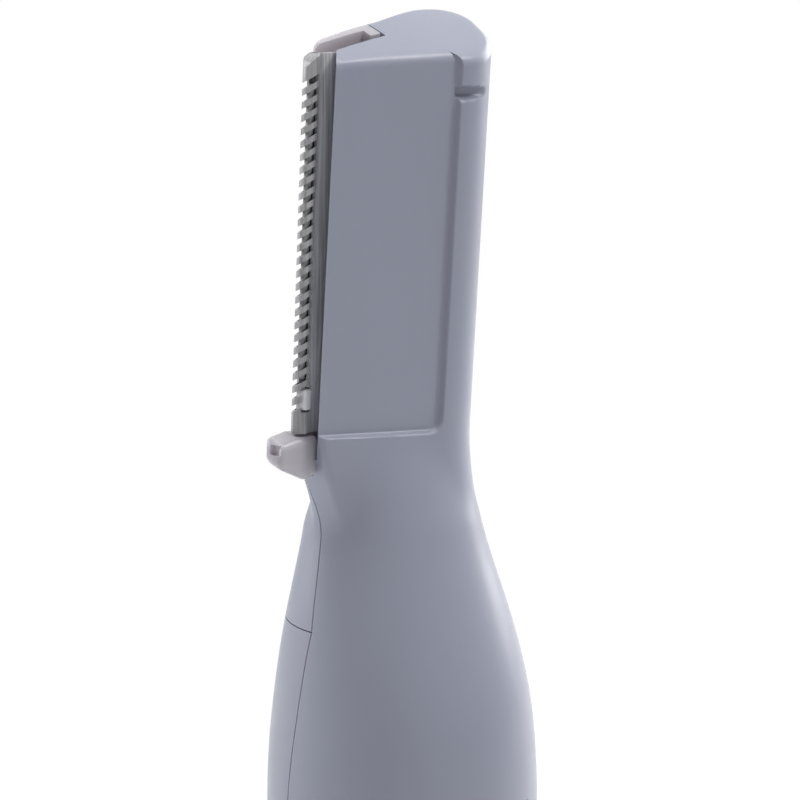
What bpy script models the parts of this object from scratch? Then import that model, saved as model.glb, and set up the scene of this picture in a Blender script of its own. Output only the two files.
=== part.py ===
"""Facial hair trimmer with a comb blade on the side of its head, built from its separate pieces.

Lengths are in metres and angles in degrees. Z is up, -Y is the front, and -X is the blade's side.
The origin is the centre of the flat foot.
"""

import math

import bmesh
import bpy
from mathutils import Matrix, Vector

# Clearances
SEAM_GAP = 0.0003
SHEET_GAP = 0.0001
RUNNING_GAP = 0.00012

# Heights from the foot up: cap, cell, motor, cam, lever
CAP_TOP = 0.0200
CAP_FLOOR = 0.0022
PLUG_LENGTH = 0.0072
SEAL_HEIGHT = CAP_TOP + 0.0033
COIL_SPACE = 0.0065
CELL_BOTTOM = CAP_FLOOR + COIL_SPACE
CELL_LENGTH = 0.0435
CELL_NUB = 0.0009
CHASSIS_BOTTOM = CAP_TOP + PLUG_LENGTH + 0.0008
LOW_FLANGE = CHASSIS_BOTTOM + 0.0020
CONTACT_SPACE = 0.0021
CHASSIS_FLOOR = CELL_BOTTOM + CELL_LENGTH + CONTACT_SPACE
CHASSIS_FLOOR_THICK = 0.0027
MOTOR_LIFT = 0.0014
MOTOR_BASE = CHASSIS_FLOOR + CHASSIS_FLOOR_THICK + MOTOR_LIFT
CHASSIS_TOP = MOTOR_BASE + 0.0046
END_CAP_LENGTH = 0.0022
CAN_LENGTH = 0.0150
BOSS_LENGTH = 0.0010
CAN_TOP = MOTOR_BASE + END_CAP_LENGTH + SEAM_GAP + CAN_LENGTH
CAM_SPACE = 0.0026
CAM_BOTTOM = CAN_TOP + BOSS_LENGTH + CAM_SPACE
CAM_HEIGHT = 0.0030
SHAFT_TOP = CAM_BOTTOM + CAM_HEIGHT - SEAM_GAP
CRANK_LENGTH = 0.0035
PIVOT_RISE = 0.0090
PIVOT_Z = CAM_BOTTOM + CAM_HEIGHT + CRANK_LENGTH + PIVOT_RISE
SCREW_Z = PIVOT_Z - 0.0055

# Heights of the switch and its strips
STRIP_TURN = CHASSIS_TOP + 0.0010
STRIP_END = STRIP_TURN + 0.0060
MOTOR_STRIP_TURN = STRIP_END + 0.0030
MOTOR_STRIP_END = MOTOR_STRIP_TURN + 0.0030
SWITCH_Z = STRIP_END + 0.0055

# Heights of the handle's outer form
GRIP_START = CHASSIS_FLOOR + 0.0007
SHOULDER_START = CAM_BOTTOM + 0.0045
NECK_RISE = 0.0125
NECK_HEIGHT = PIVOT_Z + NECK_RISE
NECK_OVAL_START = SHOULDER_START + 0.0066
CAVITY_TOP = NECK_HEIGHT - 0.0012
BLEND_START = NECK_HEIGHT - 0.0030
REAR_TOP = NECK_HEIGHT + 0.0011
HEAD_BASE = NECK_HEIGHT + 0.0045
COVER_BOTTOM = NECK_HEIGHT - 0.0094
COVER_TOP = REAR_TOP - SEAM_GAP
PART_BEND = SHOULDER_START - 0.0080

# Handle
GRIP_RADIUS = 0.00955
FOOT_TAPER = 0.00085
FOOT_RADIUS = GRIP_RADIUS - FOOT_TAPER
FOOT_ROUND = 0.0014
CAP_BORE = FOOT_RADIUS - 0.0028
SHOULDER_FULLNESS = 0.013
NECK_FULLNESS = 0.0055
NECK_RADIUS = 0.00588
NECK_FLATNESS = 0.20
NECK_SHIFT = -0.0008
WALL = 0.0014

# Head, in its own frame: u to the right, v to the back, w up along the head
HEAD_LEAN = 3.5
HEAD_LEFT = -0.00836
HEAD_FRONT = -0.0037
HEAD_END_RADIUS = 0.00365
HEAD_END_U = 0.0012
HEAD_END_ANGLE = 3.0
HEAD_BACK_ANGLE = 20.0
HEAD_BACK_U = 0.0007
HEAD_BACK_V = 0.00294
HEAD_BACK_RADIUS = 0.0053
HEAD_BACK_CORNER = 0.0020
HEAD_BACK_LEFT = -0.0089
HEAD_CORNER = 0.0005
HEAD_HEIGHT = 0.02524
TOP_SLOPE = 0.50
TOP_BEND = 14.7
TOP_CROWN = 5.8
TOP_CROWN_U = 0.0031
TOP_ROUND = 0.0004

# Recessed panel and snap notch of the head
PANEL_DEPTH = 0.00042
PANEL_RIGHT = 0.0010
PANEL_FOOT = -0.0004
PANEL_CORNER = 0.0009
NOTCH_TOP = HEAD_HEIGHT - 0.00214
NOTCH_HEIGHT = 0.0011
NOTCH_DEPTH = 0.0007

# Parting of the shells and the neck's side cover
PART_LOW_Y = -0.0002
PART_SWEEP = -0.0015
PART_TOP_Y = -0.00085
PART_CURVE = 1.5
COVER_BACK_Y = 0.0034
COVER_INNER = -0.0056

# Blade unit, in slab axes: s outward along the blade, t to the back
SLAB_ANGLE = 15.0
SLAB_U = -0.0076
SLAB_V = -0.00185
SLAB_TILT = -1.1
POCKET_DEPTH = 0.0050
POCKET_FLOOR = -0.0044
SHEET = 0.0002
FLANGE_LENGTH = 0.0033
FLANGE_SHOW = 0.00088
JOG = 0.00025
NOSE_REACH = 0.00185
NOSE_RADIUS = 0.0006
NOSE_STEPS = 6
COMB_FOOT = -0.0003
COMB_TOP = HEAD_HEIGHT - 0.00094
REAR_LEG_END = 0.00045
TOOTH_COUNT = 25
FIRST_TOOTH = 0.00172
COMB_END = 0.00098
TOOTH_PITCH = (COMB_TOP - COMB_END - FIRST_TOOTH) / TOOTH_COUNT
SLOT_WIDTH = 0.00044
SLOT_SLANT = 19.0
SLOT_ROOT = 0.00110
SLOT_TURN = 45.0
LATCH_INNER = 0.00085
LATCH_OUTER = 0.0015
LATCH_FRONT = 0.00038
LATCH_BACK = 0.00068
LATCH_TOP = 0.0027
LATCH_NECK = 0.0013
FRAME_FRONT = 0.0004
CHANNEL_DEPTH = 0.00074
CHANNEL_INNER = -0.0040
FRAME_LOW = 0.0042
TAB_REACH = 0.0038
TAB_TOP = -0.00005
TAB_TIP_TOP = -0.0004
TAB_TIP_FLOOR = -0.0020
TAB_FLOOR = -0.0040
TAB_INNER = -0.0022
TAB_FRONT = -0.0005
TAB_BACK = 0.0012
TAB_TILT = 0.30
TAB_ROUND = 0.0004
TAB_RECESS = 0.0007

# Moving blade, its spring and its drive
BLADE_SHEET = 0.00025
BLADE_EDGE = 0.0006
BLADE_NOSE = 0.00030
BLADE_STEP = 0.00115
BLADE_INNER = -0.0030
BLADE_LOW = 0.0012
BLADE_TEETH_LOW = 0.0034
BLADE_TOP = COMB_TOP - 0.0012
BLADE_PHASE = 0.3
SPRING_SHEET = 0.00015
SPRING_LENGTH = BLADE_TOP - BLADE_TEETH_LOW - 0.0037
SPRING_WIDTH = 0.0022
ROD_U = -0.0042
ROD_V = 0.0003
ROD_WIDTH = 0.0012
ROD_TOP = 0.0032
ROD_BORE = 0.00115
FINGER_LENGTH = 0.0009
FINGER_FRONT = 0.00042
FINGER_BACK = 0.0012
FINGER_HEIGHT = 0.0010
FINGER_W = 0.0022
STROKE = 0.00045
PIVOT_X = 0.0012
PIVOT_RADIUS = 0.00075
LEVER_HUB = 0.0017
LEVER_THICKNESS = 0.0016
LEVER_ARM = 0.0061
LEVER_TIP = 0.0006
LEVER_THINNING = 0.8
STEM_HALF = 0.0008
FORK_TINE = 0.0010
FORK_DEPTH = 0.0020
EYE_WALL = 0.0009
EYE_BACK = 0.0007

# Motor and cam
CAN_RADIUS = CAP_BORE + 0.0001
CAN_FLAT = CAN_RADIUS - 0.0010
CAN_WALL = 0.0005
BOSS_RADIUS = 0.0020
SHAFT_RADIUS = 0.00075
ARMATURE_RADIUS = CAN_FLAT - 0.0013
CAM_RADIUS = 0.0030
CRANK_OFFSET = 0.0006
CRANK_RADIUS = 0.0006
FORK_CLEAR = 0.00018

# Cell, chassis and cap
CELL_RADIUS = CAP_BORE - 0.00065
CELL_NUB_RADIUS = 0.00275
CHASSIS_WALL = 0.0010
FLANGE_THICK = 0.0012
SEAL_RADIUS = 0.0005
COIL_TURNS = 5
COIL_WIRE = 0.00025
COIL_RADIUS = 0.0032
COIL_TAPER = 0.0009

# Contacts
CONTACT_SHEET = 0.00025
CAP_DISC_RADIUS = CAP_BORE - 0.0009
CONTACT_RADIUS = CAP_DISC_RADIUS - 0.0010
STRIP_WIDTH = 0.0014
STRIP_LANE = 0.0010
STRIP_RADIUS = CAP_BORE + 0.0010
BLADE_RADIUS = STRIP_RADIUS - 0.0013

# Power button
SWITCH_ANGLE = 36.0
SWITCH_TRAVEL = 0.0030
SWITCH_WELL_WIDTH = 0.0066
SWITCH_WELL_LOW = 0.0074
SWITCH_WELL_TOP = 0.0102
SWITCH_WELL_POINT = 0.0050
SWITCH_WELL_DEPTH = 0.0007
BUTTON_WIDTH = 0.0052
BUTTON_HEIGHT = 0.0085
BUTTON_RISE = 0.0009
BUTTON_RIBS = 5
BUTTON_RIB = 0.00035
STEM_WIDTH = 0.0024
STEM_HEIGHT = 0.0050
KEEPER_WIDTH = 0.0044
KEEPER_HEIGHT = 0.0090
KEEPER_THICK = 0.0007
KEEPER_RADIUS = BLADE_RADIUS + 0.0010
BRIDGE_WIDTH = 0.0036
BRIDGE_HEIGHT = 0.0050
BRIDGE_SHIFT = 0.0020

# Screws of the rear shell
SCREW_X = 0.0049
SCREW_SHANK = 0.0008
SCREW_HEAD = 0.0014
SCREW_HEAD_THICK = 0.0010
SCREW_SEAT_Y = 0.0042
SCREW_TIP_Y = -0.0050
SCREW_CLEAR = 0.00015
BOSS_WALL = 0.0008
DRIVER_SLOT = 0.0005

# Fineness of round shapes
ROUND_STEPS = 36
SMALL_STEPS = 16
ARC_STEPS = 12
LINE_STEPS = 9
CORNER_STEPS = 3
SHOULDER_STEPS = 9

PARTS = "facial_hair_trimmer"
CUTTERS = "trimmer_cutters"

BODY_GREY = (0.235, 0.245, 0.300)
FRAME_GREY = (0.440, 0.400, 0.430)
STEEL = (0.42, 0.42, 0.43)
BRASS = (0.62, 0.47, 0.22)
COPPER = (0.45, 0.20, 0.10)
CELL_BLUE = (0.10, 0.12, 0.16)
DARK_PLASTIC = (0.05, 0.05, 0.055)
WHITE_PLASTIC = (0.70, 0.70, 0.68)


def clear_scene():
    """Remove what the file opened with."""
    for scene_object in list(bpy.data.objects):
        bpy.data.objects.remove(scene_object, do_unlink=True)


def make_collection(name):
    collection = bpy.data.collections.new(name)
    bpy.context.scene.collection.children.link(collection)
    return collection


def make_material(name, colour, roughness, metallic):
    material = bpy.data.materials.new(name)
    material.use_nodes = True
    shader = material.node_tree.nodes["Principled BSDF"]
    shader.inputs["Base Color"].default_value = (*colour, 1.0)
    shader.inputs["Roughness"].default_value = roughness
    shader.inputs["Metallic"].default_value = metallic
    return material


def add_object(name, mesh, place=None):
    """Link a mesh object into the parts' collection."""
    scene_object = bpy.data.objects.new(name, mesh)
    bpy.data.collections[PARTS].objects.link(scene_object)
    if place is not None:
        scene_object.matrix_world = place
    return scene_object


def finish(part, colour, roughness, metallic=0.0, sharp_angle=35.0):
    """Give a part its own material and its shading."""
    part.data.materials.clear()
    part.data.materials.append(make_material(part.name, colour, roughness, metallic))
    part.data.shade_smooth()
    part.data.set_sharp_from_angle(angle=math.radians(sharp_angle))
    return part


def as_cutter(cutter):
    """Move an object to the cutters' collection and hide it from renders."""
    for collection in list(cutter.users_collection):
        collection.objects.unlink(cutter)
    bpy.data.collections[CUTTERS].objects.link(cutter)
    cutter.hide_render = True
    cutter.display_type = "WIRE"
    return cutter


def boolean(part, other, operation):
    """Cut, join or intersect a part with another shape, and keep the result as its mesh."""
    as_cutter(other)
    modifier = part.modifiers.new(operation.lower(), "BOOLEAN")
    modifier.operation = operation
    modifier.solver = "EXACT"
    modifier.object = other
    bpy.context.view_layer.update()
    evaluated = part.evaluated_get(bpy.context.evaluated_depsgraph_get())
    mesh = bpy.data.meshes.new_from_object(evaluated)
    part.modifiers.clear()
    part.data = mesh
    return part


def cut(part, *others):
    for other in others:
        boolean(part, other, "DIFFERENCE")
    return part


def join(part, *others):
    for other in others:
        boolean(part, other, "UNION")
    return part


def keep(part, other):
    return boolean(part, other, "INTERSECT")


def mesh_object(name, shape, place=None):
    """Turn a bmesh into a linked object with its faces pointing out."""
    bmesh.ops.recalc_face_normals(shape, faces=shape.faces)
    mesh = bpy.data.meshes.new(name)
    shape.to_mesh(mesh)
    shape.free()
    return add_object(name, mesh, place)


def box(name, low, high, place=None):
    """A box between two corners."""
    low, high = Vector(low), Vector(high)
    shape = bmesh.new()
    bmesh.ops.create_cube(shape, size=1.0)
    bmesh.ops.scale(shape, vec=high - low, verts=shape.verts)
    bmesh.ops.translate(shape, vec=(low + high) / 2, verts=shape.verts)
    return mesh_object(name, shape, place)


def cylinder(name, radius, low, high, place=None, steps=SMALL_STEPS, top_radius=None):
    """A cylinder or cone along the place's Z axis, between two heights."""
    shape = bmesh.new()
    bmesh.ops.create_cone(
        shape,
        cap_ends=True,
        segments=steps,
        radius1=radius,
        radius2=radius if top_radius is None else top_radius,
        depth=high - low,
    )
    bmesh.ops.translate(shape, vec=(0.0, 0.0, (low + high) / 2), verts=shape.verts)
    return mesh_object(name, shape, place)


def prism(name, outline, low, high, place=None):
    """A flat outline, filled and extruded along the place's Z axis between two heights."""
    curve = bpy.data.curves.new(name, "CURVE")
    curve.dimensions = "2D"
    curve.fill_mode = "BOTH"
    curve.extrude = (high - low) / 2
    spline = curve.splines.new("POLY")
    spline.points.add(len(outline) - 1)
    for point, (x, y) in zip(spline.points, outline):
        point.co = (x, y, 0.0, 1.0)
    spline.use_cyclic_u = True
    holder = add_object(name + "_outline", curve)
    bpy.context.view_layer.update()
    evaluated = holder.evaluated_get(bpy.context.evaluated_depsgraph_get())
    mesh = bpy.data.meshes.new_from_object(evaluated)
    bpy.data.objects.remove(holder, do_unlink=True)
    shape = bmesh.new()
    shape.from_mesh(mesh)
    bmesh.ops.remove_doubles(shape, verts=shape.verts, dist=1e-6)
    bmesh.ops.translate(shape, vec=(0.0, 0.0, (low + high) / 2), verts=shape.verts)
    return mesh_object(name, shape, place)


def turned(name, profile, steps=ROUND_STEPS, closed=False):
    """A profile in the XZ plane, turned about Z; closed profiles make rings."""
    mesh = bpy.data.meshes.new(name)
    edges = [(index, index + 1) for index in range(len(profile) - 1)]
    if closed:
        edges.append((len(profile) - 1, 0))
    mesh.from_pydata([(radius, 0.0, height) for radius, height in profile], edges, [])
    part = add_object(name, mesh)
    screw = part.modifiers.new("turn", "SCREW")
    screw.angle = math.radians(360.0)
    screw.steps = steps
    screw.render_steps = steps
    screw.use_merge_vertices = True
    screw.merge_threshold = 1e-6
    bpy.context.view_layer.update()
    evaluated = part.evaluated_get(bpy.context.evaluated_depsgraph_get())
    turned_mesh = bpy.data.meshes.new_from_object(evaluated)
    part.modifiers.clear()
    shape = bmesh.new()
    shape.from_mesh(turned_mesh)
    bmesh.ops.remove_doubles(shape, verts=shape.verts, dist=1e-7)
    bmesh.ops.recalc_face_normals(shape, faces=shape.faces)
    shape.to_mesh(turned_mesh)
    shape.free()
    part.data = turned_mesh
    return part


def loft(name, rings):
    """A closed skin through rings of equal point counts, capped at both ends."""
    shape = bmesh.new()
    rows = [[shape.verts.new(point) for point in ring] for ring in rings]
    count = len(rows[0])
    for lower, upper in zip(rows, rows[1:]):
        for index in range(count):
            after = (index + 1) % count
            shape.faces.new((lower[index], lower[after], upper[after], upper[index]))
    shape.faces.new(list(reversed(rows[0])))
    shape.faces.new(rows[-1])
    bmesh.ops.triangulate(shape, faces=[face for face in shape.faces if len(face.verts) > 4])
    return mesh_object(name, shape)


def arc(centre, radius, start, end, steps):
    """Points on an arc, from start to end in degrees."""
    points = []
    for index in range(steps + 1):
        angle = math.radians(start + (end - start) * index / steps)
        points.append((centre[0] + radius * math.cos(angle), centre[1] + radius * math.sin(angle)))
    return points


def line(start, end):
    """Points inside a straight line, its ends left out."""
    shares = [index / LINE_STEPS for index in range(1, LINE_STEPS)]
    return [tuple(Vector(start).lerp(Vector(end), share)) for share in shares]


def heading(angle):
    """Unit vector at an angle in degrees."""
    return Vector((math.cos(math.radians(angle)), math.sin(math.radians(angle))))


def smooth(value):
    value = min(1.0, max(0.0, value))
    return value * value * (3.0 - 2.0 * value)


def bezier(points, amount):
    """A point on a cubic Bezier curve."""
    first, second, third, fourth = [Vector(point) for point in points]
    rest = 1.0 - amount
    return (
        first * rest**3
        + second * 3 * rest**2 * amount
        + third * 3 * rest * amount**2
        + fourth * amount**3
    )


def grip_radius(height):
    """Outer radius of the round handle below the shoulder."""
    widening = smooth(height / GRIP_START)
    return FOOT_RADIUS + (GRIP_RADIUS - FOOT_RADIUS) * widening


def bore_radius(height):
    """Inner radius of the handle's shells."""
    return grip_radius(height) - WALL


def head_matrix():
    """The head's own frame, leaning to the right of the handle's axis."""
    return Matrix.Translation((0.0, 0.0, HEAD_BASE)) @ Matrix.Rotation(math.radians(HEAD_LEAN), 4, "Y")


def slab_matrix(tilted=True):
    """Head frame turned so that X runs outward along the blade (s), Y to the back (t), Z down."""
    angle = math.radians(SLAB_ANGLE)
    outward = Vector((-math.cos(angle), -math.sin(angle), 0.0))
    back = Vector((-math.sin(angle), math.cos(angle), 0.0))
    axes = Matrix((outward, back, Vector((0.0, 0.0, -1.0)))).transposed().to_4x4()
    tilt = Matrix.Rotation(math.radians(SLAB_TILT if tilted else 0.0), 4, "Y")
    return head_matrix() @ Matrix.Translation((SLAB_U, SLAB_V, 0.0)) @ axes @ tilt


def slab_box(name, low, high):
    """A box given by its s, t and w limits."""
    return box(name, (low[0], low[1], -high[2]), (high[0], high[1], -low[2]), slab_matrix())


def slab_prism(name, outline, low, high):
    """An outline in s and t, extruded between two heights w."""
    return prism(name, outline, -high, -low, slab_matrix())


def sheet_prism(name, outline, front, back):
    """An outline in s and w, extruded between two depths t."""
    axes = Matrix((Vector((1, 0, 0)), Vector((0, 0, -1)), Vector((0, 1, 0)))).transposed().to_4x4()
    return prism(name, outline, front, back, slab_matrix() @ axes)


def head_outline():
    """The head's section with its blade unit, counterclockwise from the front left corner."""
    end = Vector((HEAD_END_U, HEAD_FRONT + HEAD_END_RADIUS))
    back_start = 90.0 + HEAD_BACK_ANGLE
    back_middle = Vector((HEAD_BACK_U, HEAD_BACK_V)) - HEAD_BACK_RADIUS * heading(back_start)
    corner_start = 90.0 - HEAD_BACK_ANGLE / 3
    rounding = back_middle + (HEAD_BACK_RADIUS - HEAD_BACK_CORNER) * heading(corner_start)
    front_corner = (HEAD_LEFT + HEAD_CORNER, HEAD_FRONT + HEAD_CORNER)
    run = HEAD_BACK_LEFT + HEAD_CORNER - HEAD_BACK_U
    back_end = Vector((HEAD_BACK_U + run, HEAD_BACK_V + run * math.tan(math.radians(HEAD_BACK_ANGLE))))
    back_corner = back_end - HEAD_CORNER * heading(back_start)
    outline = arc(front_corner, HEAD_CORNER, 180.0, 270.0, CORNER_STEPS)
    outline += line((front_corner[0], HEAD_FRONT), (end.x, HEAD_FRONT))
    outline += arc(end, HEAD_END_RADIUS, -90.0, HEAD_END_ANGLE, ARC_STEPS)
    outline += arc(rounding, HEAD_BACK_CORNER, HEAD_END_ANGLE, corner_start, ARC_STEPS // 2)
    outline += arc(back_middle, HEAD_BACK_RADIUS, corner_start, back_start, CORNER_STEPS)[1:]
    outline += line((HEAD_BACK_U, HEAD_BACK_V), back_end)
    outline += arc(back_corner, HEAD_CORNER, back_start, 180.0, CORNER_STEPS)
    return outline


def outline_angles():
    """Directions of the head outline's points, seen from the middle of the head."""
    middle = (HEAD_LEFT + HEAD_END_U + HEAD_END_RADIUS) / 2
    return [math.atan2(v, u - middle) for u, v in head_outline()]


def handle_ring(height, radius, shrink=0.0):
    """An oval section of the handle or neck; radius is its half width seen from the front left."""
    share = smooth((height - NECK_OVAL_START) / (NECK_HEIGHT - NECK_OVAL_START))
    ratio = 1.0 - NECK_FLATNESS * share
    half_x = radius / math.sqrt(0.75 + 0.25 * ratio**2)
    half_y = half_x * ratio
    middle = NECK_SHIFT * share
    ring = []
    for angle in outline_angles():
        x = middle + (half_x - shrink) * math.cos(angle)
        y = (half_y - shrink) * math.sin(angle)
        ring.append(Vector((x, y, height)))
    return ring


def shoulder_station(amount):
    """Height and radius along the shoulder's curve down to the neck."""
    curve = (
        (SHOULDER_START, GRIP_RADIUS, 0.0),
        (SHOULDER_START + SHOULDER_FULLNESS, GRIP_RADIUS, 0.0),
        (NECK_HEIGHT - NECK_FULLNESS, NECK_RADIUS, 0.0),
        (NECK_HEIGHT, NECK_RADIUS, 0.0),
    )
    point = bezier(curve, amount)
    return point[0], point[1]


def head_top(u, v):
    """Height of the sloping, slightly crowned top above the head's base."""
    crown = TOP_CROWN * (u - TOP_CROWN_U) ** 2
    depth = v - HEAD_FRONT - PANEL_DEPTH
    return HEAD_HEIGHT - crown + TOP_SLOPE * depth - TOP_BEND * depth**2


def head_ring(height, inset=0.0, drop=None):
    """The head's outline at a height w, or at a drop below its sloping top."""
    frame = head_matrix()
    middle = Vector((HEAD_END_U - HEAD_END_RADIUS / 2, 0.0))
    ring = []
    for u, v in head_outline():
        offset = Vector((u, v)) - middle
        u, v = middle + offset * (1.0 - inset / offset.length)
        w = height if drop is None else head_top(u, v) - drop
        ring.append(frame @ Vector((u, v, w)))
    return ring


def body_rings():
    """Sections of the trimmer's outer form, from the cap's seam to the top of the head."""
    rings = []
    for share in range(4):
        height = CAP_TOP - SEAM_GAP + (GRIP_START - CAP_TOP) * share / 3
        rings.append(handle_ring(height, grip_radius(height)))
    for index in range(SHOULDER_STEPS + 1):
        height, radius = shoulder_station(index / SHOULDER_STEPS)
        rings.append(blended_ring(height, radius))
    for share in range(1, 4):
        height = NECK_HEIGHT + (HEAD_BASE - NECK_HEIGHT) * share / 3
        rings.append(blended_ring(height, NECK_RADIUS))
    for index in range(CORNER_STEPS + 1):
        angle = math.radians(90.0 * index / CORNER_STEPS)
        inset = TOP_ROUND * (1.0 - math.cos(angle))
        rings.append(head_ring(0.0, inset, TOP_ROUND * (1.0 - math.sin(angle))))
    return rings


def blended_ring(height, radius):
    """A neck section that turns into the head's section as it rises."""
    share = smooth((height - BLEND_START) / (HEAD_BASE - BLEND_START))
    oval = handle_ring(height, radius)
    flat = head_ring(height - HEAD_BASE)
    return [low.lerp(high, share) for low, high in zip(oval, flat)]


def cavity_rings():
    """Sections of the space inside the shells."""
    rings = []
    for share in range(4):
        height = CAP_TOP - WALL + (GRIP_START - CAP_TOP) * share / 3
        rings.append(handle_ring(height, grip_radius(height), WALL))
    for index in range(SHOULDER_STEPS + 1):
        height, radius = shoulder_station(index / SHOULDER_STEPS)
        if height < CAVITY_TOP:
            rings.append(handle_ring(height, radius, WALL))
    rings.append(handle_ring(CAVITY_TOP, NECK_RADIUS, WALL))
    return rings


def side_prism(name, outline, left, right):
    """An outline in Y and Z, extruded along X."""
    axes = Matrix((Vector((0, 1, 0)), Vector((0, 0, 1)), Vector((1, 0, 0)))).transposed().to_4x4()
    return prism(name, outline, left, right, axes)


def parting_line(height):
    """Depth of the shells' parting line on the side of the handle."""
    if height < COVER_BOTTOM:
        share = max(0.0, (height - PART_BEND) / (COVER_BOTTOM - PART_BEND))
        return PART_LOW_Y + PART_SWEEP * share**PART_CURVE
    share = (height - COVER_BOTTOM) / (COVER_TOP - COVER_BOTTOM)
    bottom = PART_LOW_Y + PART_SWEEP
    return bottom + (PART_TOP_Y - bottom) * share


def parting_outline(offset, low, high):
    """Side view of the space behind the parting line of the two shells."""
    reach = 2 * GRIP_RADIUS
    heights = [high, COVER_BOTTOM]
    for index in range(2 * CORNER_STEPS):
        heights.append(COVER_BOTTOM + (PART_BEND - COVER_BOTTOM) * (index + 1) / (2 * CORNER_STEPS))
    front = [(parting_line(height) + offset, height) for height in heights]
    return [(PART_LOW_Y + offset, low), (reach, low), (reach, high)] + front


def cover_outline(shrink):
    """Side view of the neck's side cover, whose front edge goes on from the parting line."""
    low = COVER_BOTTOM + shrink
    high = COVER_TOP - shrink
    side = SEAM_GAP / 2 - shrink
    back = COVER_BACK_Y - shrink
    outline = [(parting_line(low) - side, low), (back, low)]
    return outline + [(back, high), (parting_line(high) - side, high)]


def switch_matrix():
    """Frame of the power button: X outward, Y round the handle, Z up."""
    angle = math.radians(SWITCH_ANGLE)
    outward = Vector((math.sin(angle), -math.cos(angle), 0.0))
    across = Vector((math.cos(angle), math.sin(angle), 0.0))
    axes = Matrix((outward, across, Vector((0.0, 0.0, 1.0)))).transposed().to_4x4()
    return axes


def switch_box(name, low, high):
    return box(name, low, high, switch_matrix())


def depth_matrix(x, z):
    """Frame whose Z axis runs to the back through a point of the front view."""
    return Matrix.Translation((x, 0.0, z)) @ Matrix.Rotation(math.radians(-90.0), 4, "X")


def round_hole(name, radius, x, z, front, back):
    """A cylinder along Y, through a point of the front view."""
    return cylinder(name, radius, front, back, depth_matrix(x, z))


def panel_cutter():
    """The shallow recess of the head's front, open to the left and at the top."""
    low, right = PANEL_FOOT, PANEL_RIGHT
    outline = [(2 * HEAD_LEFT, low)]
    corner = (right - PANEL_CORNER, low + PANEL_CORNER)
    outline += arc(corner, PANEL_CORNER, -90.0, 0.0, 2 * CORNER_STEPS)
    outline += [(right, 2 * HEAD_HEIGHT), (2 * HEAD_LEFT, 2 * HEAD_HEIGHT)]
    place = head_matrix() @ Matrix.Rotation(math.radians(90.0), 4, "X")
    return prism("panel_cutter", outline, -HEAD_FRONT - PANEL_DEPTH, -3 * HEAD_FRONT, place)


def notch_cutter():
    """A ramp-shaped snap notch across the head's right rim."""
    deep = HEAD_FRONT + NOTCH_DEPTH
    outline = [
        (deep, NOTCH_TOP),
        (2 * HEAD_FRONT, NOTCH_TOP),
        (2 * HEAD_FRONT, NOTCH_TOP - 2 * NOTCH_HEIGHT),
        (HEAD_FRONT, NOTCH_TOP - NOTCH_HEIGHT),
        (deep, NOTCH_TOP - NOTCH_HEIGHT / 2),
    ]
    axes = Matrix((Vector((0, 1, 0)), Vector((0, 0, 1)), Vector((1, 0, 0)))).transposed().to_4x4()
    right = 2 * (HEAD_END_U + HEAD_END_RADIUS)
    return prism("notch_cutter", outline, PANEL_RIGHT - PANEL_DEPTH / 2, right, head_matrix() @ axes)


def pocket_cutter(name):
    """The space of the blade unit in the head."""
    reach = 3 * TAB_REACH
    return slab_box(name, (-POCKET_DEPTH, 0.0, POCKET_FLOOR), (reach, reach, 2 * HEAD_HEIGHT))


def undercut_cutter():
    """Bevel behind the front plate's left edge, beside the comb."""
    corner = Vector((HEAD_LEFT - SLAB_U, HEAD_FRONT + PANEL_DEPTH - SLAB_V))
    angle = math.radians(SLAB_ANGLE)
    edge_s = -corner.x * math.cos(angle) - corner.y * math.sin(angle)
    edge_t = -corner.x * math.sin(angle) + corner.y * math.cos(angle)
    slope = edge_t / edge_s
    reach = 2 * edge_s
    outline = [(-PANEL_DEPTH, -PANEL_DEPTH * slope), (reach, reach * slope)]
    outline += [(2 * reach, reach), (-PANEL_DEPTH, reach)]
    low = -PANEL_FOOT - POCKET_FLOOR / 2
    return prism("undercut", outline, -2 * HEAD_HEIGHT, low, slab_matrix(False))


def rod_passage():
    place = head_matrix() @ Matrix.Translation((ROD_U, ROD_V, 0.0))
    return cylinder("rod_passage", ROD_BORE, CAVITY_TOP - HEAD_BASE - WALL, FRAME_LOW, place)


def head_core():
    place = head_matrix() @ Matrix.Translation((HEAD_END_U, HEAD_FRONT + HEAD_END_RADIUS, 0.0))
    radius = HEAD_END_RADIUS - WALL
    return cylinder("head_core", radius, CAVITY_TOP - HEAD_BASE - WALL, HEAD_HEIGHT - 3 * WALL, place)


def build_front_shell():
    """Front of the handle, moulded in one with the neck and the head."""
    shell = loft("front_shell", body_rings())
    cut(shell, loft("front_cavity", cavity_rings()))
    reach = 2 * GRIP_RADIUS
    boss_radius = SCREW_SHANK + BOSS_WALL
    for side in (-1, 1):
        x = side * SCREW_X
        join(shell, round_hole("front_boss", boss_radius, x, SCREW_Z, front_wall_y(), 0.0))
    behind = parting_outline(-SEAM_GAP / 2, 0.0, REAR_TOP + SEAM_GAP / 2)
    cut(shell, side_prism("behind_parting", behind, -reach, reach))
    cut(shell, box("cap_space", (-reach, -reach, 0.0), (reach, reach, CAP_TOP + SEAM_GAP)))
    cut(shell, pocket_cutter("pocket"), undercut_cutter(), rod_passage(), head_core())
    cut(shell, panel_cutter(), notch_cutter())
    pilot_radius = SCREW_SHANK + SCREW_CLEAR
    pilot_end = SCREW_TIP_Y - SEAM_GAP
    for side in (-1, 1):
        cut(shell, round_hole("pilot", pilot_radius, side * SCREW_X, SCREW_Z, pilot_end, 0.0))
    cut(shell, switch_well(), switch_window())
    return finish(shell, BODY_GREY, 0.38)


def front_wall_y():
    """Where the front wall's middle lies beside the screws."""
    radius = GRIP_RADIUS - WALL
    return -math.sqrt(radius**2 - SCREW_X**2)


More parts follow.
